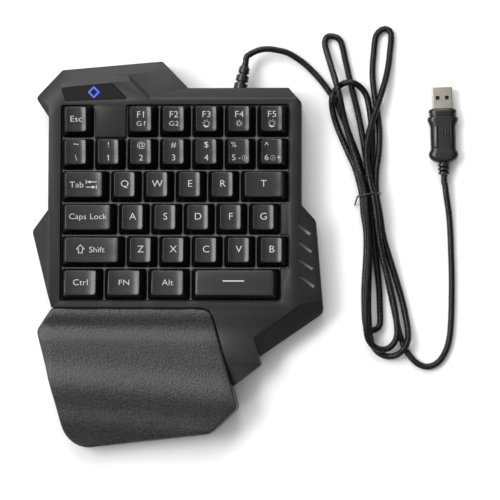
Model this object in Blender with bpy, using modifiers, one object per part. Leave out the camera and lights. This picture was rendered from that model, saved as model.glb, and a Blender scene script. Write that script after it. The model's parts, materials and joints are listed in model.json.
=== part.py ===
"""One-handed gaming keypad with a palm rest and a USB cord, in metres, +Z up.

+X is the right of the keypad, +Y its back edge, and the table is at z = 0.
The key field is the datum: every outline is placed by shares of three zones across
(left border, key block, right border) and three along (front, key block, head).
"""

import collections
import math

import bmesh
import bpy
import numpy as np
from mathutils import Matrix, Vector

# Clearances and shared walls
SEAT_GAP = 0.0003
RUNNING_GAP = 0.0003
OVERRUN = 0.004
COVER_WALL = 0.0018
UNDER_CHAMFER = 0.0016
OUTLINE_CORNER = 0.0030
ARC_STEPS = 3
WELD = 0.000002
FLAT_ANGLE = math.radians(0.5)

# Key block
KEY_PITCH = 0.01905
BLOCK_COLUMNS = 7
BLOCK_ROWS = 6
LEFT_BORDER = 0.01735
RIGHT_BORDER = 0.01984
HEAD_DEPTH = 0.02631
FRONT_DEPTH = 0.08595

# Heights of the stack, from the table up
FOOT_HEIGHT = 0.0015
SUPPORT_RIB_HEIGHT = 0.0015
BACKLIGHT_THICKNESS = 0.0008
MEMBRANE_THICKNESS = 0.0005
MAT_THICKNESS = 0.0008
DOME_HEIGHT = 0.0040
FRAME_DROP = 0.0009
FRAME_THICKNESS = 0.0020
SLEEVE_HEIGHT = 0.0030
KEY_TRAVEL = 0.0035
KEY_OVERTRAVEL = 0.0005
RIM_ABOVE_SKIRT = 0.0018
SPLIT_HEIGHT = 0.0090
HEAD_STEP = 0.0020

# Keycaps
CAP_GAP = 0.00095
CAP_CORNER = 0.0014
CAP_SIDE_INSET = 0.0031
CAP_BACK_INSET = 0.0013
CAP_FRONT_INSET = 0.0024
CAP_TOP_CORNER = 0.0018
CAP_EDGE_ROUND = 0.0005
CAP_DISH = 0.0006
CAP_WALL = 0.0013
CAP_CEILING = 0.0018
STEM_WIDTH = 0.0056
STEM_ROOT = 0.0006
WIDE_KEY = 2
SIDE_POST_INSET = 0.0078
SLEEVE_WALL = 0.0012

# Dome mat
DOME_BASE_RADIUS = 0.0058
DOME_TOP_RADIUS = 0.0031
DOME_SIDES = 8

# Window, its collar and the sheets below
WINDOW_CLEARANCE = 0.0005
WINDOW_CORNER = 0.0015
COLLAR_WALL = 0.0016
FRAME_MARGIN = 0.0011
FRAME_SKIRT = 0.0014
RIB_WIDTH = 0.0015
RIB_COUNT = 5

# Palm rest
PALM_GAP = 0.0004
APRON_DROP = 0.0070
PALM_EDGE_ROUND = 0.0018
PALM_FRONT_HEIGHT = 0.0125
PALM_CREST_HEIGHT = 0.0225

# Screws and their bosses
SCREW_SIDES = 12
SCREW_SHANK = 0.0026
SCREW_HEAD = 0.0056
SCREW_HEAD_HEIGHT = 0.0019
SCREW_GRIP = 0.0060
BOSS_WALL = 0.0016
COUNTERBORE_DEPTH = 0.0040

# Feet
FOOT_LENGTH = 0.0160
FOOT_WIDTH = 0.0070
FOOT_SIDES = 16

# Badge window and controller board
BADGE_THICKNESS = 0.0012
BADGE_LEDGE = 0.0014
BOARD_LENGTH = 0.0440
BOARD_DEPTH = 0.0110
BOARD_THICKNESS = 0.0016
BOARD_STANDOFF = 0.0030
BOARD_POST_RADIUS = 0.0020
CHIP_SIZE = 0.0060
CHIP_HEIGHT = 0.0010
CONNECTOR_LENGTH = 0.0090
CONNECTOR_DEPTH = 0.0040
CONNECTOR_HEIGHT = 0.0045
LED_SIZE = 0.0030
LED_HEIGHT = 0.0014

# Wings and facets
LEFT_SLOPE = math.radians(30)
RIGHT_SLOPE = math.radians(18)
BACK_SLOPE = math.radians(24)
FACET_SLOPE = math.radians(34)
FACET_STEP = 0.0016
EDGE_CHAMFER = 0.0006
SLOT_WIDTH = 0.0016
SLOT_DEPTH = 0.0008

# Strain relief
RELIEF_BASE_RADIUS = 0.0038
RELIEF_TIP_RADIUS = 0.0026
RELIEF_LENGTH = 0.0145
RELIEF_RIBS = 4
RELIEF_GROOVE = 0.0006
RELIEF_FLANGE_RADIUS = 0.0050
RELIEF_FLANGE_THICKNESS = 0.0016
RELIEF_RECESS = 0.0060
RELIEF_SIDES = 16
RELIEF_LEAN = math.radians(-11.6)

# Cord, and the waist at which its hank is tied
CORD_DIAMETER = 0.0038
CORD_BEVEL_RESOLUTION = 2
HANK_BEVEL_RESOLUTION = 1
CORD_JOINT_GAP = 0.0003
STRAND_PITCH = 0.00425
LAID_GAP = 0.0006
WAIST_PLACE = (0.1121, 0.0353)
WAIST_LEAN = math.radians(7)
WAIST_HOLD = 0.0240
LEAN_START = 0.0100
LOOP_STEPS = 24
LEAD_DROP_LENGTH = 0.0450
LEAD_STRAIGHT_SHARE = 0.6
TAIL_STRAIGHT_SHARE = 1.2
TAIL_RISE_LENGTH = 0.0300

# Laying the cord: the rounds of it, the spacing of the samples, and how far each
# round smooths, sags and pushes apart
LAY_ROUNDS = 420
LAY_SAMPLE = 0.0016
LAY_NEIGHBOUR = 0.0120
LAY_SAG = 0.00006
LAY_SMOOTH_SHARE = 0.12
LAY_SPREAD_SHARE = 0.35
LAY_PUSH_SHARE = 1.4
LAY_PAIR_ROUNDS = 15

# Twist tie
TIE_DIAMETER = 0.0010
TIE_TAIL_LENGTH = 0.0045
TIE_TURN_LENGTH = 0.0022

# Plug
PLUG_PLACE = (0.1559, 0.0475)
PLUG_LEAN = math.radians(1.4)
PLUG_AXIS_HEIGHT = 0.0042
OVERMOULD_THICKNESS = 0.0080
OVERMOULD_EDGE = 0.0018
PLUG_RING_RADIUS = 0.0035
PLUG_RING_GROOVE = 0.0007
PLUG_RINGS = 3
PLUG_RING_LENGTH = 0.0070
PLUG_BODY_LENGTH = 0.0315
PLUG_HALF_WIDTH = 0.0091
SHELL_WIDTH = 0.0120
SHELL_THICKNESS = 0.0045
SHELL_WALL = 0.0003
SHELL_LENGTH = 0.0124
SHELL_BACK = 0.0020
SHELL_WINDOW_LENGTH = 0.0020
SHELL_WINDOW_WIDTH = 0.0025
SHELL_WINDOW_SPREAD = 0.0054
SHELL_WINDOW_SETBACK = 0.0062
TONGUE_WIDTH = 0.0108
TONGUE_THICKNESS = 0.0018
TONGUE_SETBACK = 0.0008

BLOCK_WIDTH = BLOCK_COLUMNS * KEY_PITCH
BLOCK_DEPTH = BLOCK_ROWS * KEY_PITCH
CASE_WIDTH = LEFT_BORDER + BLOCK_WIDTH + RIGHT_BORDER
CASE_DEPTH = FRONT_DEPTH + BLOCK_DEPTH + HEAD_DEPTH
BLOCK_LEFT = LEFT_BORDER - CASE_WIDTH / 2
BLOCK_FRONT = FRONT_DEPTH - CASE_DEPTH / 2
BLOCK_RIGHT = BLOCK_LEFT + BLOCK_WIDTH
BLOCK_BACK = BLOCK_FRONT + BLOCK_DEPTH

FLOOR_BOTTOM = FOOT_HEIGHT + SEAT_GAP
FLOOR_TOP = FLOOR_BOTTOM + COVER_WALL
RIB_TOP = FLOOR_TOP + SUPPORT_RIB_HEIGHT
BACKLIGHT_BOTTOM = RIB_TOP + SEAT_GAP
MEMBRANE_BOTTOM = BACKLIGHT_BOTTOM + BACKLIGHT_THICKNESS + SEAT_GAP
MAT_BOTTOM = MEMBRANE_BOTTOM + MEMBRANE_THICKNESS + SEAT_GAP
MAT_TOP = MAT_BOTTOM + MAT_THICKNESS
DOME_TOP = MAT_TOP + DOME_HEIGHT
STEM_BOTTOM = DOME_TOP + SEAT_GAP
FRAME_BOTTOM = DOME_TOP + FRAME_DROP
FRAME_TOP = FRAME_BOTTOM + FRAME_THICKNESS
SKIRT_BOTTOM = FRAME_TOP + KEY_TRAVEL + KEY_OVERTRAVEL
RIM_HEIGHT = SKIRT_BOTTOM + RIM_ABOVE_SKIRT
HEAD_HEIGHT = RIM_HEIGHT - HEAD_STEP
CAP_BASE = KEY_PITCH - CAP_GAP
RELIEF_HEIGHT = SPLIT_HEIGHT + SEAT_GAP / 2
GUIDE_POST_RISE = FRAME_BOTTOM - STEM_BOTTOM

# The key rows from the back: (name, width in pitches) in order, None for the blank
# filled by the cover; and each row's cap height at the middle and tilt towards the user.
KEY_ROWS = (
    (("esc", 1), (None, 1), ("f1", 1), ("f2", 1), ("f3", 1), ("f4", 1), ("f5", 1)),
    (("grave", 1), ("1", 1), ("2", 1), ("3", 1), ("4", 1), ("5", 1), ("6", 1)),
    (("tab", 1.5), ("q", 1), ("w", 1), ("e", 1), ("r", 1), ("t", 1.5)),
    (("caps_lock", 1.75), ("a", 1), ("s", 1), ("d", 1), ("f", 1), ("g", 1)),
    (("shift", 2), ("z", 1), ("x", 1), ("c", 1), ("v", 1), ("b", 1)),
    (("ctrl", 4 / 3), ("fn", 4 / 3), ("alt", 4 / 3), ("space", 2.75)),
)
ROW_HEIGHTS = (0.0098, 0.0096, 0.0088, 0.0084, 0.0084, 0.0088)
ROW_TILTS = tuple(math.radians(angle) for angle in (7, 6, 3, 0, -3, -6))

# Outlines as zone shares (across, along): -1 to 0 is the left border or the front,
# 0 to 1 the key block, 1 to 2 the right border or the head. The third value is the
# corner's radius as a share of OUTLINE_CORNER.
COVER_OUTLINE_SHARES = (
    (-0.922, 1.187, 0.8),
    (-0.024, 1.82, 0.4),
    (0.44, 2.002, 0.5),
    (0.557, 1.388, 0.3),
    (0.997, 1.388, 0.3),
    (1.356, 1.067, 0.3),
    (1.356, 0.492, 0.3),
    (1.782, 0.41, 0.5),
    (2.011, -0.078, 1.5),
    (0.867, -0.381, 0.2),
    (0.88, -0.431, 0.5),
    (0.754, -0.579, 0.1),
    (0.702, -0.536, 0.1),
    (-0.002, -0.147, 0.1),
    (-0.301, -0.049, 0.1),
    (-1.018, 0.357, 1.0),
    (-0.440, 0.463, 0.2),
    (-0.440, 0.941, 0.2),
)
PALM_OUTLINE_SHARES = (
    (-0.287, -0.051, 0.2),
    (0.659, -0.052, 2.2),
    (0.782, -0.726, 1.2),
    (0.659, -0.905, 2.6),
    (0.031, -1.016, 5.0),
    (-0.81, -0.201, 1.2),
)
# The body's outline is the cover's down to where its apron meets the palm rest, the
# palm rest's round to its back left corner, and the cover's left side again.
APRON_CORNER_COUNT, LEFT_SIDE_CORNER_COUNT, PALM_CORNER_COUNT = 12, 15, 2
BADGE_OUTLINE_SHARES = (
    (-0.031, 1.395, 0.2),
    (0.223, 1.487, 0.2),
    (0.287, 1.152, 0.1),
    (0.018, 1.106, 0.2),
)
# The step up from the head to the key frame, left to right, past the case at both ends.
HEAD_STEP_SHARES = (
    (-1.6, 1.446),
    (-0.332, 1.475),
    (0.289, 1.603),
    (0.385, 1.125),
    (2.6, 1.125),
)
FAR_BACK_SHARE = 3.0
# The key window, in columns and rows from the block's back left corner.
WINDOW_STEPS = (
    (0, 0), (1, 0), (1, 1), (2, 1), (2, 0), (7, 0), (7, 3), (6.75, 3), (6.75, 4),
    (7, 4), (7, 5), (6.75, 5), (6.75, 6), (0, 6),
)
# Crease lines as pairs of points, each with the case falling away to their left.
LEFT_CREASE_SHARES = ((-0.440, 0), (-0.440, 1))
RIGHT_CREASE_SHARES = ((1.144, 1), (1.144, 0))
BACK_CREASE_SHARES = ((-0.188, 1.546), (0.418, 1.785))
CORNER_CREASE_SHARES = ((-0.636, 1.104), (0.029, 1.638))
FACET_CREASE_SHARES = ((1.226, -0.045), (0.847, -0.249))
FACET_END_SHARE = (0.902, -0.514)
SLOT_SHARES = (
    ((1.272, 0.391), (1.622, 0.339)),
    ((1.273, 0.305), (1.664, 0.249)),
    ((1.275, 0.213), (1.698, 0.162)),
    ((1.337, 0.128), (1.74, 0.072)),
)
# Waves along the front: (along share, share of the height range).
APRON_WAVE_SHARES = ((-0.088, 0), (-0.198, 0.2), (-0.317, 0.12), (-0.595, 0.75))
PALM_WAVE_SHARES = (
    (-0.045, 0.86),
    (-0.09, 0.88),
    (-0.19, 0.74),
    (-0.289, 0.82),
    (-0.428, 0.84),
    (-0.592, 0.97),
    (-0.805, 0.6),
    (-1.023, 0.0),
)
WAVE_STEPS_PER_KNOT = 3
SCREW_SHARES = {
    "head": (0.389, 1.535),
    "wing": (1.530, 0.198),
    "palm": (0.389, -0.676),
}
FOOT_SHARES = {
    "foot_back_left": (0.060, 1.300),
    "foot_back_right": (0.960, 0.985),
    "foot_front_right": (1.180, 0.010),
    "foot_palm": (0.126, -0.812),
}
BOARD_SHARE = (0.174, 1.396)
LED_PLACE_SHARE, CHIP_PLACE_SHARE, CONNECTOR_PLACE_SHARE = -0.06, -0.32, 0.33
RELIEF_SHARE = (0.779, 1.388)

# The hank: three loops above its waist and three below, on one unbroken tube.
# Its strands lie at the waist in seven slots: (across, up) in strand pitches.
ROW_SHARE = math.sqrt(3) / 2
STRAND_SHARES = {
    "low_left": (-0.5, -ROW_SHARE),
    "low_right": (0.5, -ROW_SHARE),
    "left": (-1, 0),
    "middle": (0, 0),
    "right": (1, 0),
    "top_left": (-0.5, ROW_SHARE),
    "top_right": (0.5, ROW_SHARE),
}
# side is 1 above the waist and -1 below it; the half width opens from near to half
# between two shares of the reach, and closes in the end share; lean is the sideways
# slope; out is the side of the run that leaves first, and far_layers how high the two
# runs lie over the others at the far end, on the scale of the slots' heights in mm.
Loop = collections.namedtuple(
    "Loop", "side reach half near open_shares lean_share end_share out slots far_layers"
)
HANK_LOOPS = (
    Loop(-1, 0.0953, 0.0112, 0.0030, (0.13, 0.82), 0.020, 0.136, -1, ("low_left", "right"), (1, 8)),
    Loop(1, 0.0970, 0.0049, -0.0036, (0.27, 0.80), 0.235, 0.062, -1, ("right", "top_right"), (5, 9)),
    Loop(-1, 0.0910, 0.0090, 0.0028, (0.20, 0.86), -0.030, 0.120, 1, ("top_right", "top_left"), (9, 10)),
    Loop(1, 0.0965, 0.0047, 0.0030, (0.15, 0.52), -0.125, 0.067, -1, ("top_left", "middle"), (12, 2)),
    Loop(-1, 0.0790, 0.0042, 0.0020, (0.30, 0.78), -0.105, 0.066, 1, ("middle", "left"), (5, 5)),
    Loop(1, 0.0675, 0.0114, 0.0040, (0.09, 0.77), -0.085, 0.207, -1, ("left", "low_right"), (8, 8)),
)
# The cord's free stretches: hand-chosen places along the photographed cord.
LEAD_ROUTE = (
    (0.0398, 0.1167), (0.0420, 0.1185), (0.0448, 0.1200), (0.0481, 0.1212), (0.0515, 0.1217),
    (0.0550, 0.1216), (0.0586, 0.1210), (0.0622, 0.1203), (0.0658, 0.1188), (0.0692, 0.1168),
    (0.0725, 0.1145), (0.0755, 0.1120), (0.0786, 0.1090), (0.0817, 0.1056), (0.0849, 0.1018),
    (0.0879, 0.0977), (0.0903, 0.0942), (0.0926, 0.0902), (0.0950, 0.0852), (0.0974, 0.0796),
    (0.0997, 0.0728), (0.1027, 0.0644), (0.1060, 0.0549),
)
TAIL_ROUTE = (
    (0.1173, 0.0115), (0.1197, 0.0008), (0.1223, -0.0099), (0.1244, -0.0206), (0.1266, -0.0313),
    (0.1289, -0.0420), (0.1313, -0.0503), (0.1335, -0.0548), (0.1364, -0.0595), (0.1405, -0.0634),
    (0.1450, -0.0651), (0.1494, -0.0644), (0.1530, -0.0619), (0.1556, -0.0583), (0.1577, -0.0536),
    (0.1591, -0.0479), (0.1597, -0.0420), (0.1601, -0.0349), (0.1603, -0.0265), (0.1604, -0.0177),
    (0.1603, -0.0075), (0.1600, 0.0017), (0.1597, 0.0115), (0.1591, 0.0210), (0.1583, 0.0282),
    (0.1572, 0.0353), (0.1565, 0.0412),
)
# The lead's last points and the tail's first ones lie in the bundle, as part of the hank.
LEAD_POINTS_IN_HANK, TAIL_POINTS_IN_HANK = 3, 6
# The overmould's outline: (along its length from the cord end, half width) as shares.
OVERMOULD_SHARES = (
    (0.00, 0.52),
    (0.04, 0.66),
    (0.13, 0.93),
    (0.20, 0.95),
    (0.30, 0.83),
    (0.66, 0.81),
    (0.74, 0.88),
    (0.80, 1.00),
    (0.86, 0.98),
    (0.90, 0.88),
    (0.93, 0.88),
    (0.93, 0.92),
    (1.00, 0.92),
)

# Colours, roughness and metal of each material
MATERIALS = {
    "cover_abs": ((0.020, 0.020, 0.021), 0.45, 0.0),
    "palm_soft_touch": ((0.022, 0.022, 0.023), 0.60, 0.0),
    "keycap_abs": ((0.010, 0.010, 0.011), 0.25, 0.0),
    "key_frame_abs": ((0.45, 0.45, 0.46), 0.40, 0.0),
    "badge_glass": ((0.008, 0.008, 0.010), 0.08, 0.0),
    "dome_rubber": ((0.70, 0.70, 0.68), 0.60, 0.0),
    "membrane_film": ((0.60, 0.66, 0.62), 0.30, 0.0),
    "backlight_acrylic": ((0.85, 0.87, 0.90), 0.15, 0.0),
    "board_resin": ((0.02, 0.16, 0.06), 0.40, 0.0),
    "foot_rubber": ((0.015, 0.015, 0.015), 0.80, 0.0),
    "screw_steel": ((0.35, 0.35, 0.36), 0.35, 1.0),
    "cord_braid": ((0.012, 0.012, 0.013), 0.65, 0.0),
    "plug_pvc": ((0.018, 0.018, 0.019), 0.40, 0.0),
    "plug_steel": ((0.62, 0.62, 0.63), 0.25, 1.0),
    "plug_insulator": ((0.75, 0.75, 0.72), 0.45, 0.0),
    "tie_wire": ((0.012, 0.012, 0.012), 0.35, 0.0),
}


def clear_scene():
    for obj in list(bpy.data.objects):
        bpy.data.objects.remove(obj)


def make_collection(name, hidden):
    collection = bpy.data.collections.new(name)
    bpy.context.scene.collection.children.link(collection)
    collection.hide_render = hidden
    return collection


def material(name):
    found = bpy.data.materials.get(name)
    if found:
        return found
    colour, roughness, metallic = MATERIALS[name]
    made = bpy.data.materials.new(name)
    made.use_nodes = True
    shader = made.node_tree.nodes["Principled BSDF"]
    shader.inputs["Base Color"].default_value = (*colour, 1)
    shader.inputs["Roughness"].default_value = roughness
    shader.inputs["Metallic"].default_value = metallic
    return made


def across(share):
    if share < 0:
        return BLOCK_LEFT + share * LEFT_BORDER
    if share > 1:
        return BLOCK_RIGHT + (share - 1) * RIGHT_BORDER
    return BLOCK_LEFT + share * BLOCK_WIDTH


def along(share):
    if share < 0:
        return BLOCK_FRONT + share * FRONT_DEPTH
    if share > 1:
        return BLOCK_BACK + (share - 1) * HEAD_DEPTH
    return BLOCK_FRONT + share * BLOCK_DEPTH


def spot(shares):
    return Vector((across(shares[0]), along(shares[1])))


def outline_of(shares):
    """Corners with their radii, anticlockwise."""
    corners = [(spot(s), s[2] * OUTLINE_CORNER) for s in shares]
    area = sum(a.cross(b) for (a, _), (b, _) in zip(corners, corners[1:] + corners[:1]))
    return corners if area > 0 else corners[::-1]


def grown(outline, distance):
    """The outline with every side moved out by the distance, anticlockwise."""
    made = []
    for i, (corner, radius) in enumerate(outline):
        before, after = outline[i - 1][0], outline[(i + 1) % len(outline)][0]
        coming, going = (corner - before).normalized(), (after - corner).normalized()
        out = Vector((coming.y, -coming.x)) + Vector((going.y, -going.x))
        turn = coming.cross(going)
        made.append(
            (
                corner + out * distance / (1 + coming.dot(going)),
                max(radius + math.copysign(distance, turn), OUTLINE_CORNER / 10),
            )
        )
    return made


def rounded(outline):
    """Points of the outline with an arc in each corner."""
    points = []
    for i, (corner, radius) in enumerate(outline):
        before, after = outline[i - 1][0], outline[(i + 1) % len(outline)][0]
        coming, going = (corner - before).normalized(), (after - corner).normalized()
        turn = math.atan2(coming.cross(going), coming.dot(going))
        reach = radius * math.tan(abs(turn) / 2)
        steps = max(1, round(abs(turn) / math.radians(90) * ARC_STEPS))
        start = corner - coming * reach
        side = math.copysign(1, turn)
        centre = start + Vector((-coming.y, coming.x)) * side * radius
        for step in range(steps + 1):
            angle = turn * step / steps
            spoke = start - centre
            spoke.rotate(Matrix.Rotation(angle, 2))
            points.append(centre + spoke)
    return points


def window_outline():
    corners = [
        (Vector((BLOCK_LEFT + c * KEY_PITCH, BLOCK_BACK - r * KEY_PITCH)), WINDOW_CORNER)
        for c, r in reversed(WINDOW_STEPS)
    ]
    return grown([(p, r - WINDOW_CLEARANCE) for p, r in corners], WINDOW_CLEARANCE)


def field_outline(margin):
    """The rectangle of the key field, grown by its clearance and this margin."""
    corners = [
        Vector((BLOCK_LEFT, BLOCK_FRONT)),
        Vector((BLOCK_RIGHT, BLOCK_FRONT)),
        Vector((BLOCK_RIGHT, BLOCK_BACK)),
        Vector((BLOCK_LEFT, BLOCK_BACK)),
    ]
    return grown([(p, 0.0) for p in corners], WINDOW_CLEARANCE + margin)


def add_object(name, mesh, collection, finish=None):
    obj = bpy.data.objects.new(name, mesh)
    collection.objects.link(obj)
    if finish:
        mesh.materials.clear()
        mesh.materials.append(material(finish))
    return obj


def edit(obj, work):
    """Runs the work on the object's mesh, as a bmesh."""
    bm = bmesh.new()
    bm.from_mesh(obj.data)
    work(bm)
    bmesh.ops.recalc_face_normals(bm, faces=bm.faces)
    bm.to_mesh(obj.data)
    bm.free()


def bake(obj):
    """Applies the modifiers of the object, and joins its flat faces up."""
    bpy.context.view_layer.update()
    graph = bpy.context.evaluated_depsgraph_get()
    mesh = bpy.data.meshes.new_from_object(obj.evaluated_get(graph))
    obj.modifiers.clear()
    obj.data = mesh
    return obj


def tidy(bm):
    bmesh.ops.remove_doubles(bm, verts=bm.verts, dist=WELD)
    bmesh.ops.dissolve_limit(
        bm, angle_limit=FLAT_ANGLE, verts=bm.verts, edges=bm.edges, use_dissolve_boundaries=False
    )


def curve_to_mesh(guide, collection):
    bpy.context.view_layer.update()
    graph = bpy.context.evaluated_depsgraph_get()
    mesh = bpy.data.meshes.new_from_object(guide.evaluated_get(graph))
    made = add_object(guide.name, mesh, collection)
    made.matrix_world = guide.matrix_world
    name = guide.name
    bpy.data.objects.remove(guide)
    made.name = name
    edit(made, tidy)
    return made


def plate(name, points, bottom, top, collection):
    """A flat outline, filled, from one height to another."""
    curve = bpy.data.curves.new(name, "CURVE")
    curve.dimensions = "2D"
    curve.fill_mode = "BOTH"
    curve.extrude = (top - bottom) / 2
    spline = curve.splines.new("POLY")
    spline.points.add(len(points) - 1)
    for point, (x, y) in zip(spline.points, points):
        point.co = (x, y, 0, 1)
    spline.use_cyclic_u = True
    guide = bpy.data.objects.new(name, curve)
    collection.objects.link(guide)
    made = curve_to_mesh(guide, collection)
    made.data.transform(Matrix.Translation((0, 0, (top + bottom) / 2)))
    made.matrix_world = Matrix.Identity(4)
    return made


def loft(name, rings, collection):
    """A solid through rings of as many points each, capped at both ends."""
    bm = bmesh.new()
    rows = [[bm.verts.new(p) for p in ring] for ring in rings]
    for low, high in zip(rows, rows[1:]):
        for i in range(len(low)):
            j = (i + 1) % len(low)
            bm.faces.new((low[i], low[j], high[j], high[i]))
    bm.faces.new(rows[0][::-1])
    bm.faces.new(rows[-1])
    bmesh.ops.recalc_face_normals(bm, faces=bm.faces)
    mesh = bpy.data.meshes.new(name)
    bm.to_mesh(mesh)
    bm.free()
    return add_object(name, mesh, collection)


def box(name, centre, size, collection):
    bm = bmesh.new()
    bmesh.ops.create_cube(bm, size=1)
    bmesh.ops.scale(bm, vec=size, verts=bm.verts)
    bmesh.ops.translate(bm, vec=centre, verts=bm.verts)
    mesh = bpy.data.meshes.new(name)
    bm.to_mesh(mesh)
    bm.free()
    return add_object(name, mesh, collection)


def cylinder(name, place, bottom, top, radius, sides, collection, top_radius=None):
    bm = bmesh.new()
    bmesh.ops.create_cone(
        bm,
        cap_ends=True,
        segments=sides,
        radius1=radius,
        radius2=radius if top_radius is None else top_radius,
        depth=top - bottom,
    )
    bmesh.ops.rotate(bm, cent=(0, 0, 0), matrix=Matrix.Rotation(math.pi / sides, 3, "Z"), verts=bm.verts)
    bmesh.ops.translate(bm, vec=(place[0], place[1], (top + bottom) / 2), verts=bm.verts)
    mesh = bpy.data.meshes.new(name)
    bm.to_mesh(mesh)
    bm.free()
    return add_object(name, mesh, collection)


def joined(name, objects, collection):
    """Separate solids as one mesh, to be cut or joined in one go."""
    bm = bmesh.new()
    for obj in objects:
        bm.from_mesh(obj.data)
        bpy.data.objects.remove(obj)
    mesh = bpy.data.meshes.new(name)
    bm.to_mesh(mesh)
    bm.free()
    return add_object(name, mesh, collection)


def boolean(obj, other, operation):
    modifier = obj.modifiers.new(other.name, "BOOLEAN")
    modifier.operation = operation
    modifier.object = other
    modifier.solver = "EXACT"
    other.hide_render = True
    other.display_type = "WIRE"
    bake(obj)
    bpy.data.objects.remove(other)
    edit(obj, tidy)


def cut(obj, other):
    boolean(obj, other, "DIFFERENCE")


def join(obj, other):
    boolean(obj, other, "UNION")


def wave_height(knots, y):
    """The share at this place along the front, eased from knot to knot."""
    share = (y - BLOCK_FRONT) / FRONT_DEPTH
    if share >= knots[0][0]:
        return knots[0][1]
    for (near, high), (far, low) in zip(knots, knots[1:]):
        if share >= far:
            part = (near - share) / (near - far)
            return high + (low - high) * (1 - math.cos(math.pi * part)) / 2
    return knots[-1][1]


def wave_stations(knots):
    places = []
    for (near, _), (far, _) in zip(knots, knots[1:]):
        for step in range(WAVE_STEPS_PER_KNOT):
            places.append(near + (far - near) * step / WAVE_STEPS_PER_KNOT)
    return [along(share) for share in [*places, knots[-1][0]]]


def shape_wave(obj, knots, top, height_at):
    """Lays the flat top along a wave: height_at turns a share into a height."""

    def work(bm):
        for y in wave_stations(knots):
            geometry = [*bm.verts, *bm.edges, *bm.faces]
            bmesh.ops.bisect_plane(bm, geom=geometry, dist=WELD, plane_co=(0, y, 0), plane_no=(0, 1, 0))
        for vert in bm.verts:
            if abs(vert.co.z - top) < WELD:
                vert.co.z = height_at(wave_height(knots, vert.co.y))
        tidy(bm)

    edit(obj, work)


def slope_off(obj, crease_shares, height, slope):
    """Planes off what stands above a slope that falls away to the left of the crease."""
    start, end = spot(crease_shares[0]), spot(crease_shares[1])
    ahead = (end - start).normalized()
    normal = Vector((-ahead.y * math.sin(slope), ahead.x * math.sin(slope), math.cos(slope)))

    def work(bm):
        geometry = [*bm.verts, *bm.edges, *bm.faces]
        bmesh.ops.bisect_plane(
            bm, geom=geometry, dist=WELD, plane_co=(*start, height), plane_no=normal, clear_outer=True
        )
        rim = [edge for edge in bm.edges if edge.is_boundary]
        bmesh.ops.holes_fill(bm, edges=rim, sides=0)
        tidy(bm)

    edit(obj, work)


def chamfer_top_edges(obj, width, segments, lowest):
    """Rounds the edges where the top meets the sides, above the lowest height."""

    def work(bm):
        edges = []
        for edge in bm.edges:
            if len(edge.link_faces) != 2 or min(v.co.z for v in edge.verts) < lowest:
                continue
            upright = [abs(face.normal.z) < 0.1 for face in edge.link_faces]
            if upright[0] != upright[1]:
                edges.append(edge)
        bmesh.ops.bevel(
            bm, geom=edges, offset=width, segments=segments, profile=0.5, affect="EDGES", clamp_overlap=True
        )
        tidy(bm)

    edit(obj, work)


def head_step_cutter(drop, helpers):
    region = [*HEAD_STEP_SHARES, (2.6, FAR_BACK_SHARE), (-1.6, FAR_BACK_SHARE)]
    outline = outline_of([(*share, 0) for share in region])
    low = [(*corner, HEAD_HEIGHT - drop) for corner, _ in grown(outline, -HEAD_STEP)]
    high = [(*corner, RIM_HEIGHT - drop + OVERRUN) for corner, _ in grown(outline, OVERRUN)]
    return loft("head_step", [low, high], helpers)


def facet_cutter(drop, helpers):
    """The wedge over the dark facet at the front right, which falls outwards."""
    start, end = (spot(share) for share in FACET_CREASE_SHARES)
    ahead = (end - start).normalized()
    out = Vector((-ahead.y, ahead.x))
    far = RIGHT_BORDER * 2
    side = (spot(FACET_END_SHARE) - end).normalized()
    plan = [start - ahead * far, end, end + side * far, end + out * far - ahead * far * 2]
    height = RIM_HEIGHT - FACET_STEP - drop

    def low(point):
        return height - max(0, (point - end).dot(out)) * math.tan(FACET_SLOPE)

    return loft(
        "facet",
        [[(*p, low(p)) for p in plan], [(*p, RIM_HEIGHT + OVERRUN) for p in plan]],
        helpers,
    )


def cover_form(name, inset, drop, bottom, collection, helpers):
    """The top cover as one solid, or its inside, inset by the wall and lower by it."""
    outline = rounded(grown(outline_of(COVER_OUTLINE_SHARES), -inset))
    top = RIM_HEIGHT - drop
    form = plate(name, outline, bottom, top, collection)
    shape_wave(form, APRON_WAVE_SHARES, top, lambda share: top - share * APRON_DROP)
    cut(form, head_step_cutter(drop, helpers))
    slope_off(form, LEFT_CREASE_SHARES, top, LEFT_SLOPE)
    slope_off(form, RIGHT_CREASE_SHARES, top, RIGHT_SLOPE)
    slope_off(form, BACK_CREASE_SHARES, HEAD_HEIGHT - drop, BACK_SLOPE)
    slope_off(form, CORNER_CREASE_SHARES, HEAD_HEIGHT - drop, BACK_SLOPE)
    cut(form, facet_cutter(drop, helpers))
    return form


def slot_cutters(helpers):
    """Boxes sunk along the right flank, each at its own place on the slope."""
    boxes = []
    crease_x = across(RIGHT_CREASE_SHARES[0][0])
    for ends in SLOT_SHARES:
        start, end = spot(ends[0]), spot(ends[1])
        ahead = (end - start).normalized()
        side = Vector((-ahead.y, ahead.x)) * SLOT_WIDTH / 2
        plan = [start - side, end - side, end + side, start + side]

        def floor_at(point):
            fall = (point.x - crease_x) * math.tan(RIGHT_SLOPE)
            return RIM_HEIGHT - fall - SLOT_DEPTH

        low = [(*p, floor_at(p)) for p in plan]
        high = [(*p, RIM_HEIGHT + OVERRUN) for p in plan]
        boxes.append(loft("slot", [low, high], helpers))
    return joined("slots", boxes, helpers)


def bore(place, radius, bottom, top, helpers):
    return cylinder("bore", place, bottom, top, radius, SCREW_SIDES, helpers)


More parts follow.
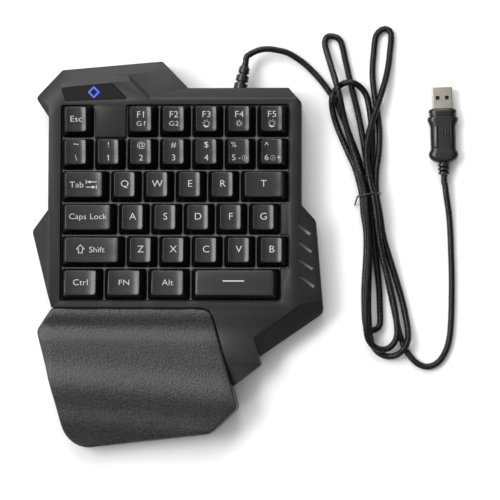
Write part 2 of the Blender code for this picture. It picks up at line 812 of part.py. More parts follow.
def cut_relief_space(cover, helpers):
    """Half of the strain relief's hole, with room inside the wall for its flange."""
    hole = RELIEF_BASE_RADIUS + SEAT_GAP
    recess = RELIEF_FLANGE_RADIUS + SEAT_GAP
    for radius, low, high in ((hole, -OVERRUN, OVERRUN), (recess, -RELIEF_RECESS, -COVER_WALL)):
        cutter = cylinder("relief_bore", (0, 0), low, high, radius, RELIEF_SIDES, helpers)
        cutter.data.transform(relief_matrix())
        cut(cover, cutter)


def relief_matrix():
    """Turns +Z of a shape into the strain relief's axis, at the back wall's outer face."""
    x, y = spot(RELIEF_SHARE)
    turn = Matrix.Rotation(RELIEF_LEAN, 4, "Z") @ Matrix.Rotation(math.radians(-90), 4, "X")
    return Matrix.Translation((x, y, RELIEF_HEIGHT)) @ turn


def make_top_cover(parts, helpers):
    bottom = SPLIT_HEIGHT + SEAT_GAP
    cover = cover_form("top_cover", 0, 0, bottom, parts, helpers)
    palm = outline_of(PALM_OUTLINE_SHARES)
    clear = rounded(grown(palm, PALM_GAP))
    cut(cover, plate("palm_space", clear, bottom - OVERRUN, RIM_HEIGHT + OVERRUN, helpers))
    chamfer_top_edges(cover, EDGE_CHAMFER, 1, bottom + EDGE_CHAMFER)
    cavity = cover_form("cavity", COVER_WALL, COVER_WALL, bottom - OVERRUN, helpers, helpers)
    walled = rounded(grown(palm, PALM_GAP + COVER_WALL))
    low = bottom - OVERRUN * 2
    cut(cavity, plate("palm_wall", walled, low, RIM_HEIGHT + OVERRUN, helpers))
    collar = rounded(grown(window_outline(), COLLAR_WALL))
    cut(cavity, plate("collar", collar, FRAME_TOP + SEAT_GAP, RIM_HEIGHT + OVERRUN, helpers))
    for name in ("head", "wing"):
        place = spot(SCREW_SHARES[name])
        pillar = bore(place, SCREW_SHANK / 2 + RUNNING_GAP + BOSS_WALL, low, RIM_HEIGHT, helpers)
        cut(cavity, pillar)
    cut(cover, cavity)
    window = rounded(window_outline())
    cut(cover, plate("window", window, low, RIM_HEIGHT + OVERRUN, helpers))
    badge = outline_of(BADGE_OUTLINE_SHARES)
    seat = RIM_HEIGHT - BADGE_THICKNESS - SEAT_GAP
    pocket = rounded(grown(badge, SEAT_GAP))
    cut(cover, plate("badge_seat", pocket, seat, RIM_HEIGHT + OVERRUN, helpers))
    opening = rounded(grown(badge, -BADGE_LEDGE))
    cut(cover, plate("badge_opening", opening, HEAD_HEIGHT - COVER_WALL - OVERRUN, seat + OVERRUN / 2, helpers))
    cut(cover, slot_cutters(helpers))
    for name in ("head", "wing"):
        top = SPLIT_HEIGHT + SCREW_GRIP
        hole = bore(spot(SCREW_SHARES[name]), SCREW_SHANK / 2 + RUNNING_GAP, low, top, helpers)
        cut(cover, hole)
    cut_relief_space(cover, helpers)
    add_finish(cover, "cover_abs")


def add_finish(obj, name):
    obj.data.materials.clear()
    obj.data.materials.append(material(name))


def body_outline():
    cover, palm = COVER_OUTLINE_SHARES, PALM_OUTLINE_SHARES
    shares = [*cover[:APRON_CORNER_COUNT], *palm[PALM_CORNER_COUNT:], palm[0], *cover[LEFT_SIDE_CORNER_COUNT:]]
    return outline_of(shares)


def make_bottom_cover(parts, helpers):
    body = body_outline()
    rings = (
        (-UNDER_CHAMFER, FLOOR_BOTTOM),
        (0, FLOOR_BOTTOM + UNDER_CHAMFER),
        (0, SPLIT_HEIGHT),
    )
    tray = loft(
        "bottom_cover",
        [[(*p, z) for p in rounded(grown(body, grow))] for grow, z in rings],
        parts,
    )
    inside = rounded(grown(body, -COVER_WALL - UNDER_CHAMFER / 2))
    cut(tray, plate("tray_inside", inside, FLOOR_TOP, SPLIT_HEIGHT + OVERRUN, helpers))
    fittings = [rib(i, helpers) for i in range(RIB_COUNT)]
    for share in SCREW_SHARES.values():
        radius = SCREW_HEAD / 2 + RUNNING_GAP + BOSS_WALL
        fittings.append(
            cylinder("boss", spot(share), FLOOR_TOP - SEAT_GAP, SPLIT_HEIGHT, radius, SCREW_SIDES, helpers)
        )
    for place in board_posts():
        top = FLOOR_TOP + BOARD_STANDOFF
        fittings.append(
            cylinder("post", place, FLOOR_TOP - SEAT_GAP, top, BOARD_POST_RADIUS, DOME_SIDES, helpers)
        )
    join(tray, joined("fittings", fittings, helpers))
    low = FLOOR_BOTTOM - OVERRUN
    bores = []
    for share in SCREW_SHARES.values():
        place = spot(share)
        head = SCREW_HEAD / 2 + RUNNING_GAP
        bores.append(bore(place, head, low, FLOOR_BOTTOM + COUNTERBORE_DEPTH, helpers))
    cut(tray, joined("counterbores", bores, helpers))
    for share in SCREW_SHARES.values():
        hole = bore(spot(share), SCREW_SHANK / 2 + RUNNING_GAP, low, SPLIT_HEIGHT + OVERRUN, helpers)
        cut(tray, hole)
    cut_relief_space(tray, helpers)
    add_finish(tray, "cover_abs")


def rib(i, helpers):
    """One of the ribs along the key field that carry the sheets."""
    x = BLOCK_LEFT + BLOCK_WIDTH * (i + 0.5) / RIB_COUNT
    centre = (x, BLOCK_FRONT + BLOCK_DEPTH / 2, (FLOOR_TOP - SEAT_GAP + RIB_TOP) / 2)
    return box("rib", centre, (RIB_WIDTH, BLOCK_DEPTH, RIB_TOP - FLOOR_TOP + SEAT_GAP), helpers)


def make_palm_rest(parts, helpers):
    bottom = SPLIT_HEIGHT + SEAT_GAP
    rise = PALM_CREST_HEIGHT - PALM_FRONT_HEIGHT
    palm = outline_of(PALM_OUTLINE_SHARES)
    shell = plate("palm_rest", rounded(palm), bottom, PALM_CREST_HEIGHT, parts)
    shape_wave(shell, PALM_WAVE_SHARES, PALM_CREST_HEIGHT, lambda s: PALM_FRONT_HEIGHT + s * rise)
    chamfer_top_edges(shell, PALM_EDGE_ROUND, 2, bottom + PALM_EDGE_ROUND)
    inner_top = PALM_CREST_HEIGHT - COVER_WALL
    inside = rounded(grown(palm, -COVER_WALL))
    cavity = plate("palm_inside", inside, bottom - OVERRUN, inner_top, helpers)
    shape_wave(
        cavity, PALM_WAVE_SHARES, inner_top, lambda s: PALM_FRONT_HEIGHT - COVER_WALL + s * rise
    )
    place = spot(SCREW_SHARES["palm"])
    radius = SCREW_SHANK / 2 + RUNNING_GAP
    cut(cavity, bore(place, radius + BOSS_WALL, bottom - OVERRUN * 2, PALM_CREST_HEIGHT, helpers))
    cut(shell, cavity)
    cut(shell, bore(place, radius, bottom - OVERRUN, SPLIT_HEIGHT + SCREW_GRIP, helpers))
    add_finish(shell, "palm_soft_touch")


def make_badge_window(parts):
    outline = rounded(outline_of(BADGE_OUTLINE_SHARES))
    pane = plate("badge_window", outline, RIM_HEIGHT - BADGE_THICKNESS, RIM_HEIGHT, parts)
    add_finish(pane, "badge_glass")


def key_places():
    """(name, row, width in pitches, centre) of every key."""
    found = []
    for row, keys in enumerate(KEY_ROWS):
        column = 0
        for name, width in keys:
            x = BLOCK_LEFT + (column + width / 2) * KEY_PITCH
            y = BLOCK_BACK - (row + 0.5) * KEY_PITCH
            if name:
                found.append((name, row, width, Vector((x, y))))
            column += width
    return found


def stem_offsets(width):
    """How far each plunger or guide post stands from the key's centre."""
    if width < WIDE_KEY:
        return [0]
    side = width * KEY_PITCH / 2 - SIDE_POST_INSET
    return [-side, 0, side]


def cap_ring(width, depth, corner, shift, height_at):
    """A rounded rectangle's points, the back edge from left to right, then the front."""
    half, deep = width / 2, depth / 2
    bite = 1 - math.cos(math.radians(45))
    stations = [
        (-half, deep - corner),
        (-half + bite * corner, deep - bite * corner),
        (-half + corner, deep),
        (-half / 3, deep),
        (half / 3, deep),
        (half - corner, deep),
        (half - bite * corner, deep - bite * corner),
        (half, deep - corner),
    ]
    back = [(x, y + shift) for x, y in stations]
    front = [(x, shift - y) for x, y in reversed(stations)]
    return [(x, y, height_at(x, y)) for x, y in back + front]


def cap_mesh(width, row):
    """A keycap with its plunger, round the key's centre, its skirt's foot at z = 0."""
    base_width = width * KEY_PITCH - CAP_GAP
    top_width = base_width - 2 * CAP_SIDE_INSET
    top_depth = CAP_BASE - CAP_BACK_INSET - CAP_FRONT_INSET
    shift = (CAP_FRONT_INSET - CAP_BACK_INSET) / 2
    height, tilt = ROW_HEIGHTS[row], math.tan(ROW_TILTS[row])
    dish = -CAP_DISH if width > WIDE_KEY else CAP_DISH

    def surface(x, y):
        return height + tilt * (y - shift) - dish * (1 - (2 * x / top_width) ** 2)

    round_off = CAP_EDGE_ROUND
    rings = [
        cap_ring(base_width, CAP_BASE, CAP_CORNER, 0, lambda x, y: 0),
        cap_ring(top_width, top_depth, CAP_TOP_CORNER, shift, lambda x, y: surface(x, y) - round_off),
        cap_ring(
            top_width - 2 * round_off, top_depth - 2 * round_off, CAP_TOP_CORNER - round_off, shift, surface
        ),
    ]
    bm = bmesh.new()
    rows = [[bm.verts.new(p) for p in ring] for ring in rings]
    count = len(rows[0])
    for low, high in zip(rows, rows[1:]):
        for i in range(count):
            j = (i + 1) % count
            bm.faces.new((low[i], low[j], high[j], high[i]))
    top = rows[-1]
    for i in range(count // 2 - 1):
        bm.faces.new((top[i], top[i + 1], top[count - 2 - i], top[count - 1 - i]))
    bm.faces.new(rows[0][::-1])
    bmesh.ops.recalc_face_normals(bm, faces=bm.faces)
    mesh = bpy.data.meshes.new("cap")
    bm.to_mesh(mesh)
    bm.free()
    return mesh


def make_cap(width, row, helpers):
    """The finished keycap mesh: hollow, with its plunger and any guide posts."""
    cap = add_object("cap", cap_mesh(width, row), helpers)
    base_width = width * KEY_PITCH - CAP_GAP
    top_depth = CAP_BASE - CAP_BACK_INSET - CAP_FRONT_INSET
    lean = math.tan(abs(ROW_TILTS[row])) * top_depth / 2
    ceiling = ROW_HEIGHTS[row] - lean - CAP_DISH - CAP_CEILING
    share = ceiling / ROW_HEIGHTS[row]
    shift = (CAP_FRONT_INSET - CAP_BACK_INSET) / 2 * share
    plans = (
        (base_width - 2 * CAP_WALL, CAP_BASE - 2 * CAP_WALL, 0, 0),
        (
            base_width - 2 * CAP_WALL - 2 * CAP_SIDE_INSET * share,
            CAP_BASE - 2 * CAP_WALL - (CAP_BACK_INSET + CAP_FRONT_INSET) * share,
            shift,
            ceiling,
        ),
    )
    rings = [
        [(sx * w / 2, y0 + sy * d / 2, z) for sx, sy in ((-1, -1), (1, -1), (1, 1), (-1, 1))]
        for w, d, y0, z in plans
    ]
    rings[0] = [(x, y, z - CAP_WALL) for x, y, z in rings[0]]
    cut(cap, loft("cap_inside", rings, helpers))
    low, high = STEM_BOTTOM - SKIRT_BOTTOM, ceiling + STEM_ROOT
    for offset in stem_offsets(width):
        bottom = low if offset == 0 else low + GUIDE_POST_RISE
        size = (STEM_WIDTH, STEM_WIDTH, high - bottom)
        join(cap, box("stem", (offset, 0, (high + bottom) / 2), size, helpers))
    mesh = cap.data
    bpy.data.objects.remove(cap)
    mesh.materials.clear()
    mesh.materials.append(material("keycap_abs"))
    return mesh


def make_keys(parts, helpers):
    """Each key on an empty of its own, on the axis along which it goes down."""
    meshes = {}
    for name, row, width, centre in key_places():
        if (width, row) not in meshes:
            meshes[width, row] = make_cap(width, row, helpers)
        axis = bpy.data.objects.new("axis_" + name, None)
        parts.objects.link(axis)
        axis.location = (*centre, SKIRT_BOTTOM)
        key = add_object("key_" + name, meshes[width, row], parts)
        key.parent = axis


def make_key_frame(parts, helpers):
    outline = rounded(field_outline(FRAME_MARGIN))
    frame = plate("key_frame", outline, FRAME_BOTTOM, FRAME_TOP, parts)
    skirt = plate("skirt", outline, MAT_TOP + SEAT_GAP, FRAME_BOTTOM + FRAME_THICKNESS / 2, helpers)
    inner = rounded(field_outline(FRAME_MARGIN - FRAME_SKIRT))
    cut(skirt, plate("skirt_inside", inner, MAT_TOP - OVERRUN, FRAME_TOP + OVERRUN, helpers))
    join(frame, skirt)
    sleeves, bores = [], []
    for _, _, width, centre in key_places():
        for offset in stem_offsets(width):
            bore_width = STEM_WIDTH + 2 * RUNNING_GAP
            side = bore_width + 2 * SLEEVE_WALL
            place = (centre.x + offset, centre.y)
            low, high = FRAME_BOTTOM + FRAME_THICKNESS / 2, FRAME_TOP + SLEEVE_HEIGHT
            sleeves.append(box("sleeve", (*place, (low + high) / 2), (side, side, high - low), helpers))
            low, high = FRAME_BOTTOM - OVERRUN / 2, high + OVERRUN / 2
            size = (bore_width, bore_width, high - low)
            bores.append(box("bore", (*place, (low + high) / 2), size, helpers))
    join(frame, joined("sleeves", sleeves, helpers))
    cut(frame, joined("bores", bores, helpers))
    add_finish(frame, "key_frame_abs")


def make_sheets(parts, helpers):
    outline = rounded(field_outline(FRAME_MARGIN))
    mat = plate("rubber_dome_mat", outline, MAT_BOTTOM, MAT_TOP, parts)
    domes = []
    for _, _, width, centre in key_places():
        low = MAT_TOP - MAT_THICKNESS / 2
        dome = cylinder(
            "dome", centre, low, DOME_TOP, DOME_BASE_RADIUS, DOME_SIDES, helpers, DOME_TOP_RADIUS
        )
        domes.append(dome)
    join(mat, joined("domes", domes, helpers))
    add_finish(mat, "dome_rubber")
    top = MEMBRANE_BOTTOM + MEMBRANE_THICKNESS
    add_finish(plate("membrane_sheet", outline, MEMBRANE_BOTTOM, top, parts), "membrane_film")
    top = BACKLIGHT_BOTTOM + BACKLIGHT_THICKNESS
    add_finish(plate("backlight_sheet", outline, BACKLIGHT_BOTTOM, top, parts), "backlight_acrylic")


def board_posts():
    x, y = spot(BOARD_SHARE)
    reach = BOARD_LENGTH / 2 - 2 * BOARD_POST_RADIUS
    return [(x - reach, y), (x + reach, y)]


def make_board(parts, helpers):
    x, y = spot(BOARD_SHARE)
    bottom = FLOOR_TOP + BOARD_STANDOFF + SEAT_GAP
    top = bottom + BOARD_THICKNESS
    size = (BOARD_LENGTH, BOARD_DEPTH, BOARD_THICKNESS)
    board = box("controller_board", (x, y, bottom + BOARD_THICKNESS / 2), size, parts)
    pieces = (
        (LED_PLACE_SHARE, (LED_SIZE, LED_SIZE, LED_HEIGHT)),
        (CHIP_PLACE_SHARE, (CHIP_SIZE, CHIP_SIZE, CHIP_HEIGHT)),
        (CONNECTOR_PLACE_SHARE, (CONNECTOR_LENGTH, CONNECTOR_DEPTH, CONNECTOR_HEIGHT)),
    )
    for share, (length, depth, height) in pieces:
        low = top - BOARD_THICKNESS / 2
        centre = (x + share * BOARD_LENGTH, y, (low + top + height) / 2)
        join(board, box("component", centre, (length, depth, top + height - low), helpers))
    add_finish(board, "board_resin")


def make_screws(parts, helpers):
    for name, share in SCREW_SHARES.items():
        place = spot(share)
        head_top = FLOOR_BOTTOM + COUNTERBORE_DEPTH - SEAT_GAP
        head_bottom = head_top - SCREW_HEAD_HEIGHT
        screw = cylinder(
            "cover_screw_" + name, place, head_bottom, head_top, SCREW_HEAD / 2, SCREW_SIDES, parts
        )
        top = SPLIT_HEIGHT + SCREW_GRIP - SEAT_GAP
        low = (head_top + head_bottom) / 2
        shank = cylinder("shank", place, low, top, SCREW_SHANK / 2, SCREW_SIDES, helpers)
        join(screw, shank)
        add_finish(screw, "screw_steel")


def make_feet(parts):
    for name, share in FOOT_SHARES.items():
        x, y = spot(share)
        points = []
        for step in range(FOOT_SIDES):
            angle = 2 * math.pi * (step + 0.5) / FOOT_SIDES
            end = math.copysign((FOOT_LENGTH - FOOT_WIDTH) / 2, math.cos(angle))
            points.append(
                (
                    x + end + math.cos(angle) * FOOT_WIDTH / 2,
                    y + math.sin(angle) * FOOT_WIDTH / 2,
                )
            )
        add_finish(plate(name, points, 0, FOOT_HEIGHT, parts), "foot_rubber")


def make_strain_relief(parts, helpers):
    """A ribbed taper, turned about the cord, with a flange inside the wall."""
    inside = COVER_WALL + SEAT_GAP
    radii = [(-inside - RELIEF_FLANGE_THICKNESS, RELIEF_FLANGE_RADIUS), (-inside, RELIEF_FLANGE_RADIUS)]
    radii.append((-inside, RELIEF_BASE_RADIUS))
    pitch = RELIEF_LENGTH / (RELIEF_RIBS + 0.5)
    for i in range(RELIEF_RIBS + 1):
        share = i / RELIEF_RIBS
        radius = RELIEF_BASE_RADIUS + (RELIEF_TIP_RADIUS - RELIEF_BASE_RADIUS) * share
        start = i * pitch
        radii.append((start + pitch / 2, radius))
        if i < RELIEF_RIBS:
            radii.append((start + pitch / 2, radius - RELIEF_GROOVE))
            radii.append((start + pitch, radius - RELIEF_GROOVE))
            following = RELIEF_BASE_RADIUS + (RELIEF_TIP_RADIUS - RELIEF_BASE_RADIUS) * (i + 1) / RELIEF_RIBS
            radii.append((start + pitch, following))
    relief = turned("strain_relief", radii, RELIEF_SIDES, parts)
    relief.data.transform(relief_matrix())
    add_finish(relief, "plug_pvc")


def turned(name, profile, sides, collection):
    """A solid of revolution about Z from (height, radius) pairs, by the Screw modifier."""
    mesh = bpy.data.meshes.new(name)
    points = [(0, 0, profile[0][0])] + [(r, 0, z) for z, r in profile] + [(0, 0, profile[-1][0])]
    mesh.from_pydata(points[::-1], [(i, i + 1) for i in range(len(points) - 1)], [])
    obj = add_object(name, mesh, collection)
    screw = obj.modifiers.new("turn", "SCREW")
    screw.steps = sides
    screw.render_steps = sides
    screw.use_merge_vertices = True
    screw.merge_threshold = WELD
    bake(obj)
    edit(obj, lambda bm: bmesh.ops.remove_doubles(bm, verts=bm.verts, dist=WELD))
    return obj


def slot_place(name):
    """Across and up from the floor, of one strand at the waist."""
    under = TIE_DIAMETER + 2 * SEAT_GAP + CORD_DIAMETER / 2
    share, up = STRAND_SHARES[name]
    return share * STRAND_PITCH, under + (up + ROW_SHARE) * STRAND_PITCH


def from_waist(along_axis, sideways):
    up = Vector((-math.sin(WAIST_LEAN), math.cos(WAIST_LEAN)))
    right = Vector((math.cos(WAIST_LEAN), math.sin(WAIST_LEAN)))
    return Vector(WAIST_PLACE) + along_axis * up + sideways * right


def eased(share):
    share = min(1, max(0, share))
    return share * share * (3 - 2 * share)


def loop_points(loop):
    """(place, layer) round one loop, from the waist and back to it."""
    made = []
    for step in range(LOOP_STEPS + 1):
        angle = math.pi * step / LOOP_STEPS
        distance = loop.reach * math.sin(angle)
        share = math.sin(angle)
        second = step > LOOP_STEPS / 2
        slot_across, slot_height = slot_place(loop.slots[second])
        start, end = loop.open_shares
        half = loop.near + (loop.half - loop.near) * eased((share - start) / (end - start))
        closing = max(0, (share - 1 + loop.end_share) / loop.end_share)
        half *= math.sqrt(1 - closing * closing)
        centre = loop.lean_share * distance**2 / (distance + LEAN_START)
        free = centre + (-loop.out if second else loop.out) * half
        held = 1 - eased(distance / WAIST_HOLD)
        place = from_waist(loop.side * distance, slot_across * held + free * (1 - held))
        layer = slot_height * 1000
        layer += (loop.far_layers[second] - layer) * share
        made.append((place, layer))
    return made


def cord_route():
    """The whole cord: places, layers, and the heights that are settled."""
    exit_place, exit_way = relief_tip()
    floor = CORD_DIAMETER / 2
    straight = [exit_place, exit_place + exit_way * CORD_DIAMETER * LEAD_STRAIGHT_SHARE]
    lead = straight + [Vector(place) for place in LEAD_ROUTE]
    route = [(place, 0, None) for place in lead]
    for i, loop in enumerate(HANK_LOOPS):
        points = loop_points(loop)
        for step, (place, layer) in enumerate(points):
            if step == 0 and i > 0:
                continue
            slot = loop.slots[0 if step == 0 else 1]
            at_waist = step in (0, LOOP_STEPS)
            route.append((place, layer, slot_place(slot)[1] if at_waist else None))
    plug_place, plug_way = Vector(PLUG_PLACE), plug_way_back()
    tail = [Vector(place) for place in TAIL_ROUTE]
    tail.append(plug_place + plug_way * CORD_DIAMETER * TAIL_STRAIGHT_SHARE)
    tail.append(plug_place + plug_way * CORD_JOINT_GAP)
    route += [(place, 0, None) for place in tail]
    settled = settle_ends(route, len(lead), len(tail), floor)
    return settled, len(lead), len(tail)


def settle_ends(route, lead_count, tail_count, floor):
    """Gives the free stretches their heights, down from the case and up to the plug."""
    settled = list(route)
    gone = 0
    for i in range(lead_count - LEAD_POINTS_IN_HANK):
        if i > 0:
            gone += (route[i][0] - route[i - 1][0]).length
        drop = eased((gone - CORD_DIAMETER) / LEAD_DROP_LENGTH)
        height = RELIEF_HEIGHT + (floor - RELIEF_HEIGHT) * drop
        settled[i] = (route[i][0], 0, height)
    gone = 0
    last = len(route) - 1
    for i in range(last, last - tail_count + TAIL_POINTS_IN_HANK, -1):
        if i < last:
            gone += (route[i][0] - route[i + 1][0]).length
        drop = eased((gone - CORD_DIAMETER) / TAIL_RISE_LENGTH)
        height = PLUG_AXIS_HEIGHT + (floor - PLUG_AXIS_HEIGHT) * drop
        settled[i] = (route[i][0], 0, height)
    return settled


def lay_cord(route):
    """Lets the cord settle: it sags to the floor, and over and under itself."""
    floor = CORD_DIAMETER / 2
    plan = np.array([place for place, _, _ in route])
    layer = np.array([value for _, value, _ in route], dtype=float)
    held = np.array([height is not None for _, _, height in route])
    heights = [
        max(floor, value / 1000 * LAY_PUSH_SHARE) if height is None else height
        for _, value, height in route
    ]
    points = np.column_stack([plan, heights])
    first, weight, distance = cord_samples(points)
    sample_layer = layer[first] * (1 - weight) + layer[first + 1] * weight
    apart = np.triu(np.abs(distance[:, None] - distance[None, :]) > LAY_NEIGHBOUR)
    need = CORD_DIAMETER + LAID_GAP
    for turn in range(LAY_ROUNDS):
        samples = sample_points(points, first, weight)
        if turn % LAY_PAIR_ROUNDS == 0:
            flat = ((samples[:, None, :2] - samples[None, :, :2]) ** 2).sum(2)
            pairs = np.nonzero((flat < (2 * need) ** 2) & apart)
        late = turn > LAY_ROUNDS * 3 / 4
        moved = points.copy()
        smooth = LAY_SMOOTH_SHARE * (0.15 if late else 1)
        middle = (points[:-2] + points[2:]) / 2
        moved[1:-1, 2] += smooth * (middle[:, 2] - points[1:-1, 2])
        moved[:, 2] -= 0 if late else LAY_SAG
        drift = moved[:, :2] - plan
        drift[1:-1] += smooth * ((drift[:-2] + drift[2:]) / 2 - drift[1:-1])
        moved[:, :2] = plan + drift * (1 if late else 1 - LAY_SMOOTH_SHARE / 5)
        moved += LAY_PUSH_SHARE * push_apart(samples, pairs, sample_layer, first, weight, need, len(points))
        moved[:, 2] = np.maximum(moved[:, 2], floor)
        moved[held] = points[held]
        points = moved
    return points


def cord_samples(points):
    """Places along the polyline a sample apart: (segment, share of it, distance)."""
    lengths = np.linalg.norm(np.diff(points, axis=0), axis=1)
    ends = np.concatenate([[0], np.cumsum(lengths)])
    first, weight = [], []
    for i, length in enumerate(lengths):
        steps = max(1, math.ceil(length / LAY_SAMPLE))
        first += [i] * steps
        weight += [step / steps for step in range(steps)]
    first, weight = np.array(first), np.array(weight)
    return first, weight, ends[first] + weight * lengths[first]


def sample_points(points, first, weight):
    return points[first] * (1 - weight)[:, None] + points[first + 1] * weight[:, None]


def push_apart(samples, pairs, layer, first, weight, need, count):
    """How far each point moves so that strands that are too close part again."""
    i, j = pairs
    between = samples[i] - samples[j]
    distance = np.linalg.norm(between, axis=1) + WELD
    close = distance < need
    i, j, between, distance = i[close], j[close], between[close], distance[close]
    way = between / distance[:, None]
    order = layer[i] - layer[j]
    crossing = np.abs(order) > 1
    way[crossing, :2] *= LAY_SPREAD_SHARE
    way /= np.linalg.norm(way, axis=1)[:, None] + WELD
    wrong = order * way[:, 2] < -0.3
    way[wrong] = np.column_stack([0 * order, 0 * order, np.sign(order)])[wrong]
    lack = np.where(wrong, need, need - distance)
    move, share = np.zeros((count, 3)), np.zeros(count)
    for side, ends in ((0.5, i), (-0.5, j)):
        for offset, part in ((0, 1 - weight[ends]), (1, weight[ends])):
            np.add.at(move, first[ends] + offset, (side * lack * part)[:, None] * way)
            np.add.at(share, first[ends] + offset, part)
    return move / np.maximum(share, 1)[:, None]


def least_gap(points):
    """The least gap between two stretches of the cord, measured on its points."""
    first, weight, distance = cord_samples(points)
    samples = sample_points(points, first, weight)
    spread = np.linalg.norm(samples[:, None] - samples[None, :], axis=2)
    near = np.abs(distance[:, None] - distance[None, :]) <= LAY_NEIGHBOUR
    return spread[~near].min() - CORD_DIAMETER


def split_at(points, index):
    """Two runs that meet face to face at this point, each straight for a diameter."""
    here = points[index]
    way = points[index + 1] - points[index - 1]
    way = way / np.linalg.norm(way)
    straight, half_gap = way * CORD_DIAMETER, way * CORD_JOINT_GAP / 2
    before = [*points[: index - 1], here - straight, here - half_gap]
    after = [here + half_gap, here + straight, *points[index + 2 :]]
    return before, after


def tube(name, points, radius, resolution, collection, closed=False):
    curve = bpy.data.curves.new(name, "CURVE")
    curve.dimensions = "3D"
    curve.bevel_depth = radius
    curve.bevel_resolution = resolution
    curve.use_fill_caps = not closed
    spline = curve.splines.new("POLY")
    spline.points.add(len(points) - 1)
    for point, place in zip(spline.points, points):
        point.co = (*place, 1)
    spline.use_cyclic_u = closed
    made = bpy.data.objects.new(name, curve)
    collection.objects.link(made)
    return made


def make_cord(parts):
    """The cord as three runs on one route: lead, tied hank and tail."""
    route, lead_count, tail_count = cord_route()
    points = lay_cord(route)
    tail_start = len(points) - tail_count + TAIL_POINTS_IN_HANK
    whole, tail = split_at(points, tail_start)
    lead, hank = split_at(np.array(whole), lead_count - LEAD_POINTS_IN_HANK)
    print("least gap in the cord, mm:", round(least_gap(np.array(hank)) * 1000, 2))
    runs = (
        ("cord_lead", lead, CORD_BEVEL_RESOLUTION),
        ("cord_hank", hank, HANK_BEVEL_RESOLUTION),
        ("cord_tail", tail, CORD_BEVEL_RESOLUTION),
    )
    for name, run, resolution in runs:
        made = tube(name, run, CORD_DIAMETER / 2, resolution, parts)
        made.data.materials.append(material("cord_braid"))


def make_twist_tie(parts, helpers):
    """A wire round the seven strands at the waist, its ends twisted into a stub."""
    spread = CORD_DIAMETER / 2 + SEAT_GAP + TIE_DIAMETER / 2
    middle = slot_place("middle")[1]
    ring = []
    for corner in range(6):
        for turn in (-30, 0, 30):
            angle = math.radians(60 * corner)
            lean = angle + math.radians(turn)
            across_waist = STRAND_PITCH * math.cos(angle) + spread * math.cos(lean)
            up = STRAND_PITCH * math.sin(angle) + spread * math.sin(lean)
            ring.append((*from_waist(0, across_waist), middle + up))
    tie = tube("twist_tie", ring, TIE_DIAMETER / 2, HANK_BEVEL_RESOLUTION, parts, closed=True)
    made = curve_to_mesh(tie, parts)
    reach = STRAND_PITCH + spread
    stub = []
    for step, out in ((0, 0), (1, TIE_TURN_LENGTH), (2, TIE_TAIL_LENGTH)):
        place = from_waist(-step * TIE_TURN_LENGTH, -reach - out / 2)
        stub.append((*place, middle + (TIE_DIAMETER - middle) * step / 2))
    tail = tube("stub", stub, TIE_DIAMETER / 2, HANK_BEVEL_RESOLUTION, helpers)
    join(made, curve_to_mesh(tail, helpers))
    add_finish(made, "tie_wire")


def plug_way_back():
    """The way from the plug's end along its cord."""
    return Vector((math.sin(PLUG_LEAN), -math.cos(PLUG_LEAN)))


def plug_matrix():
    """Turns +Y of a shape into the way the plug points, from its cord end."""
    place = Matrix.Translation((*PLUG_PLACE, PLUG_AXIS_HEIGHT))
    return place @ Matrix.Rotation(PLUG_LEAN, 4, "Z")


def make_overmould(parts, helpers):
    start = PLUG_RING_LENGTH
    right = [
        (width * PLUG_HALF_WIDTH, start + share * PLUG_BODY_LENGTH) for share, width in OVERMOULD_SHARES
    ]
    outline = right + [(-x, y) for x, y in reversed(right)]
    half = OVERMOULD_THICKNESS / 2
    narrow = 1 - OVERMOULD_EDGE / PLUG_HALF_WIDTH
    levels = ((narrow, -half), (1, OVERMOULD_EDGE - half), (1, half - OVERMOULD_EDGE), (narrow, half))
    rings = [[(x * scale, y, z) for x, y in outline] for scale, z in levels]
    body = loft("usb_plug_overmould", rings, parts)
    pitch = PLUG_RING_LENGTH / PLUG_RINGS
    profile = []
    for i in range(PLUG_RINGS):
        profile += [(i * pitch, PLUG_RING_RADIUS), ((i + 0.6) * pitch, PLUG_RING_RADIUS)]
        profile += [((i + 0.6) * pitch, PLUG_RING_RADIUS - PLUG_RING_GROOVE)]
        profile += [((i + 1) * pitch, PLUG_RING_RADIUS - PLUG_RING_GROOVE)]
    profile += [(start + OVERMOULD_EDGE, PLUG_RING_RADIUS - PLUG_RING_GROOVE)]
    rings = turned("rings", profile, RELIEF_SIDES, helpers)
    rings.data.transform(Matrix.Rotation(math.radians(-90), 4, "X"))
    join(body, rings)
    body.data.transform(plug_matrix())
    add_finish(body, "plug_pvc")


def make_shell(parts, helpers):
    back = PLUG_RING_LENGTH + PLUG_BODY_LENGTH + SEAT_GAP
    front = back + SHELL_LENGTH
    size = (SHELL_WIDTH, SHELL_LENGTH, SHELL_THICKNESS)
    shell = box("usb_plug_shell", (0, (back + front) / 2, 0), size, parts)
    inner = (SHELL_WIDTH - 2 * SHELL_WALL, SHELL_LENGTH, SHELL_THICKNESS - 2 * SHELL_WALL)
    cut(shell, box("mouth", (0, (back + front) / 2 + SHELL_BACK, 0), inner, helpers))
    holes = []
    for side in (-1, 1):
        centre = (side * SHELL_WINDOW_SPREAD / 2, front - SHELL_WINDOW_SETBACK, 0)
        size = (SHELL_WINDOW_WIDTH, SHELL_WINDOW_LENGTH, SHELL_THICKNESS + OVERRUN)
        holes.append(box("window", centre, size, helpers))
    cut(shell, joined("windows", holes, helpers))
    shell.data.transform(plug_matrix())
    add_finish(shell, "plug_steel")
    length = SHELL_LENGTH - SHELL_BACK - SEAT_GAP - TONGUE_SETBACK
    place = (0, front - TONGUE_SETBACK - length / 2, SHELL_WALL + SEAT_GAP + TONGUE_THICKNESS / 2 - SHELL_THICKNESS / 2)
    tongue = box("usb_plug_tongue", place, (TONGUE_WIDTH, length, TONGUE_THICKNESS), parts)
    tongue.data.transform(plug_matrix())
    add_finish(tongue, "plug_insulator")


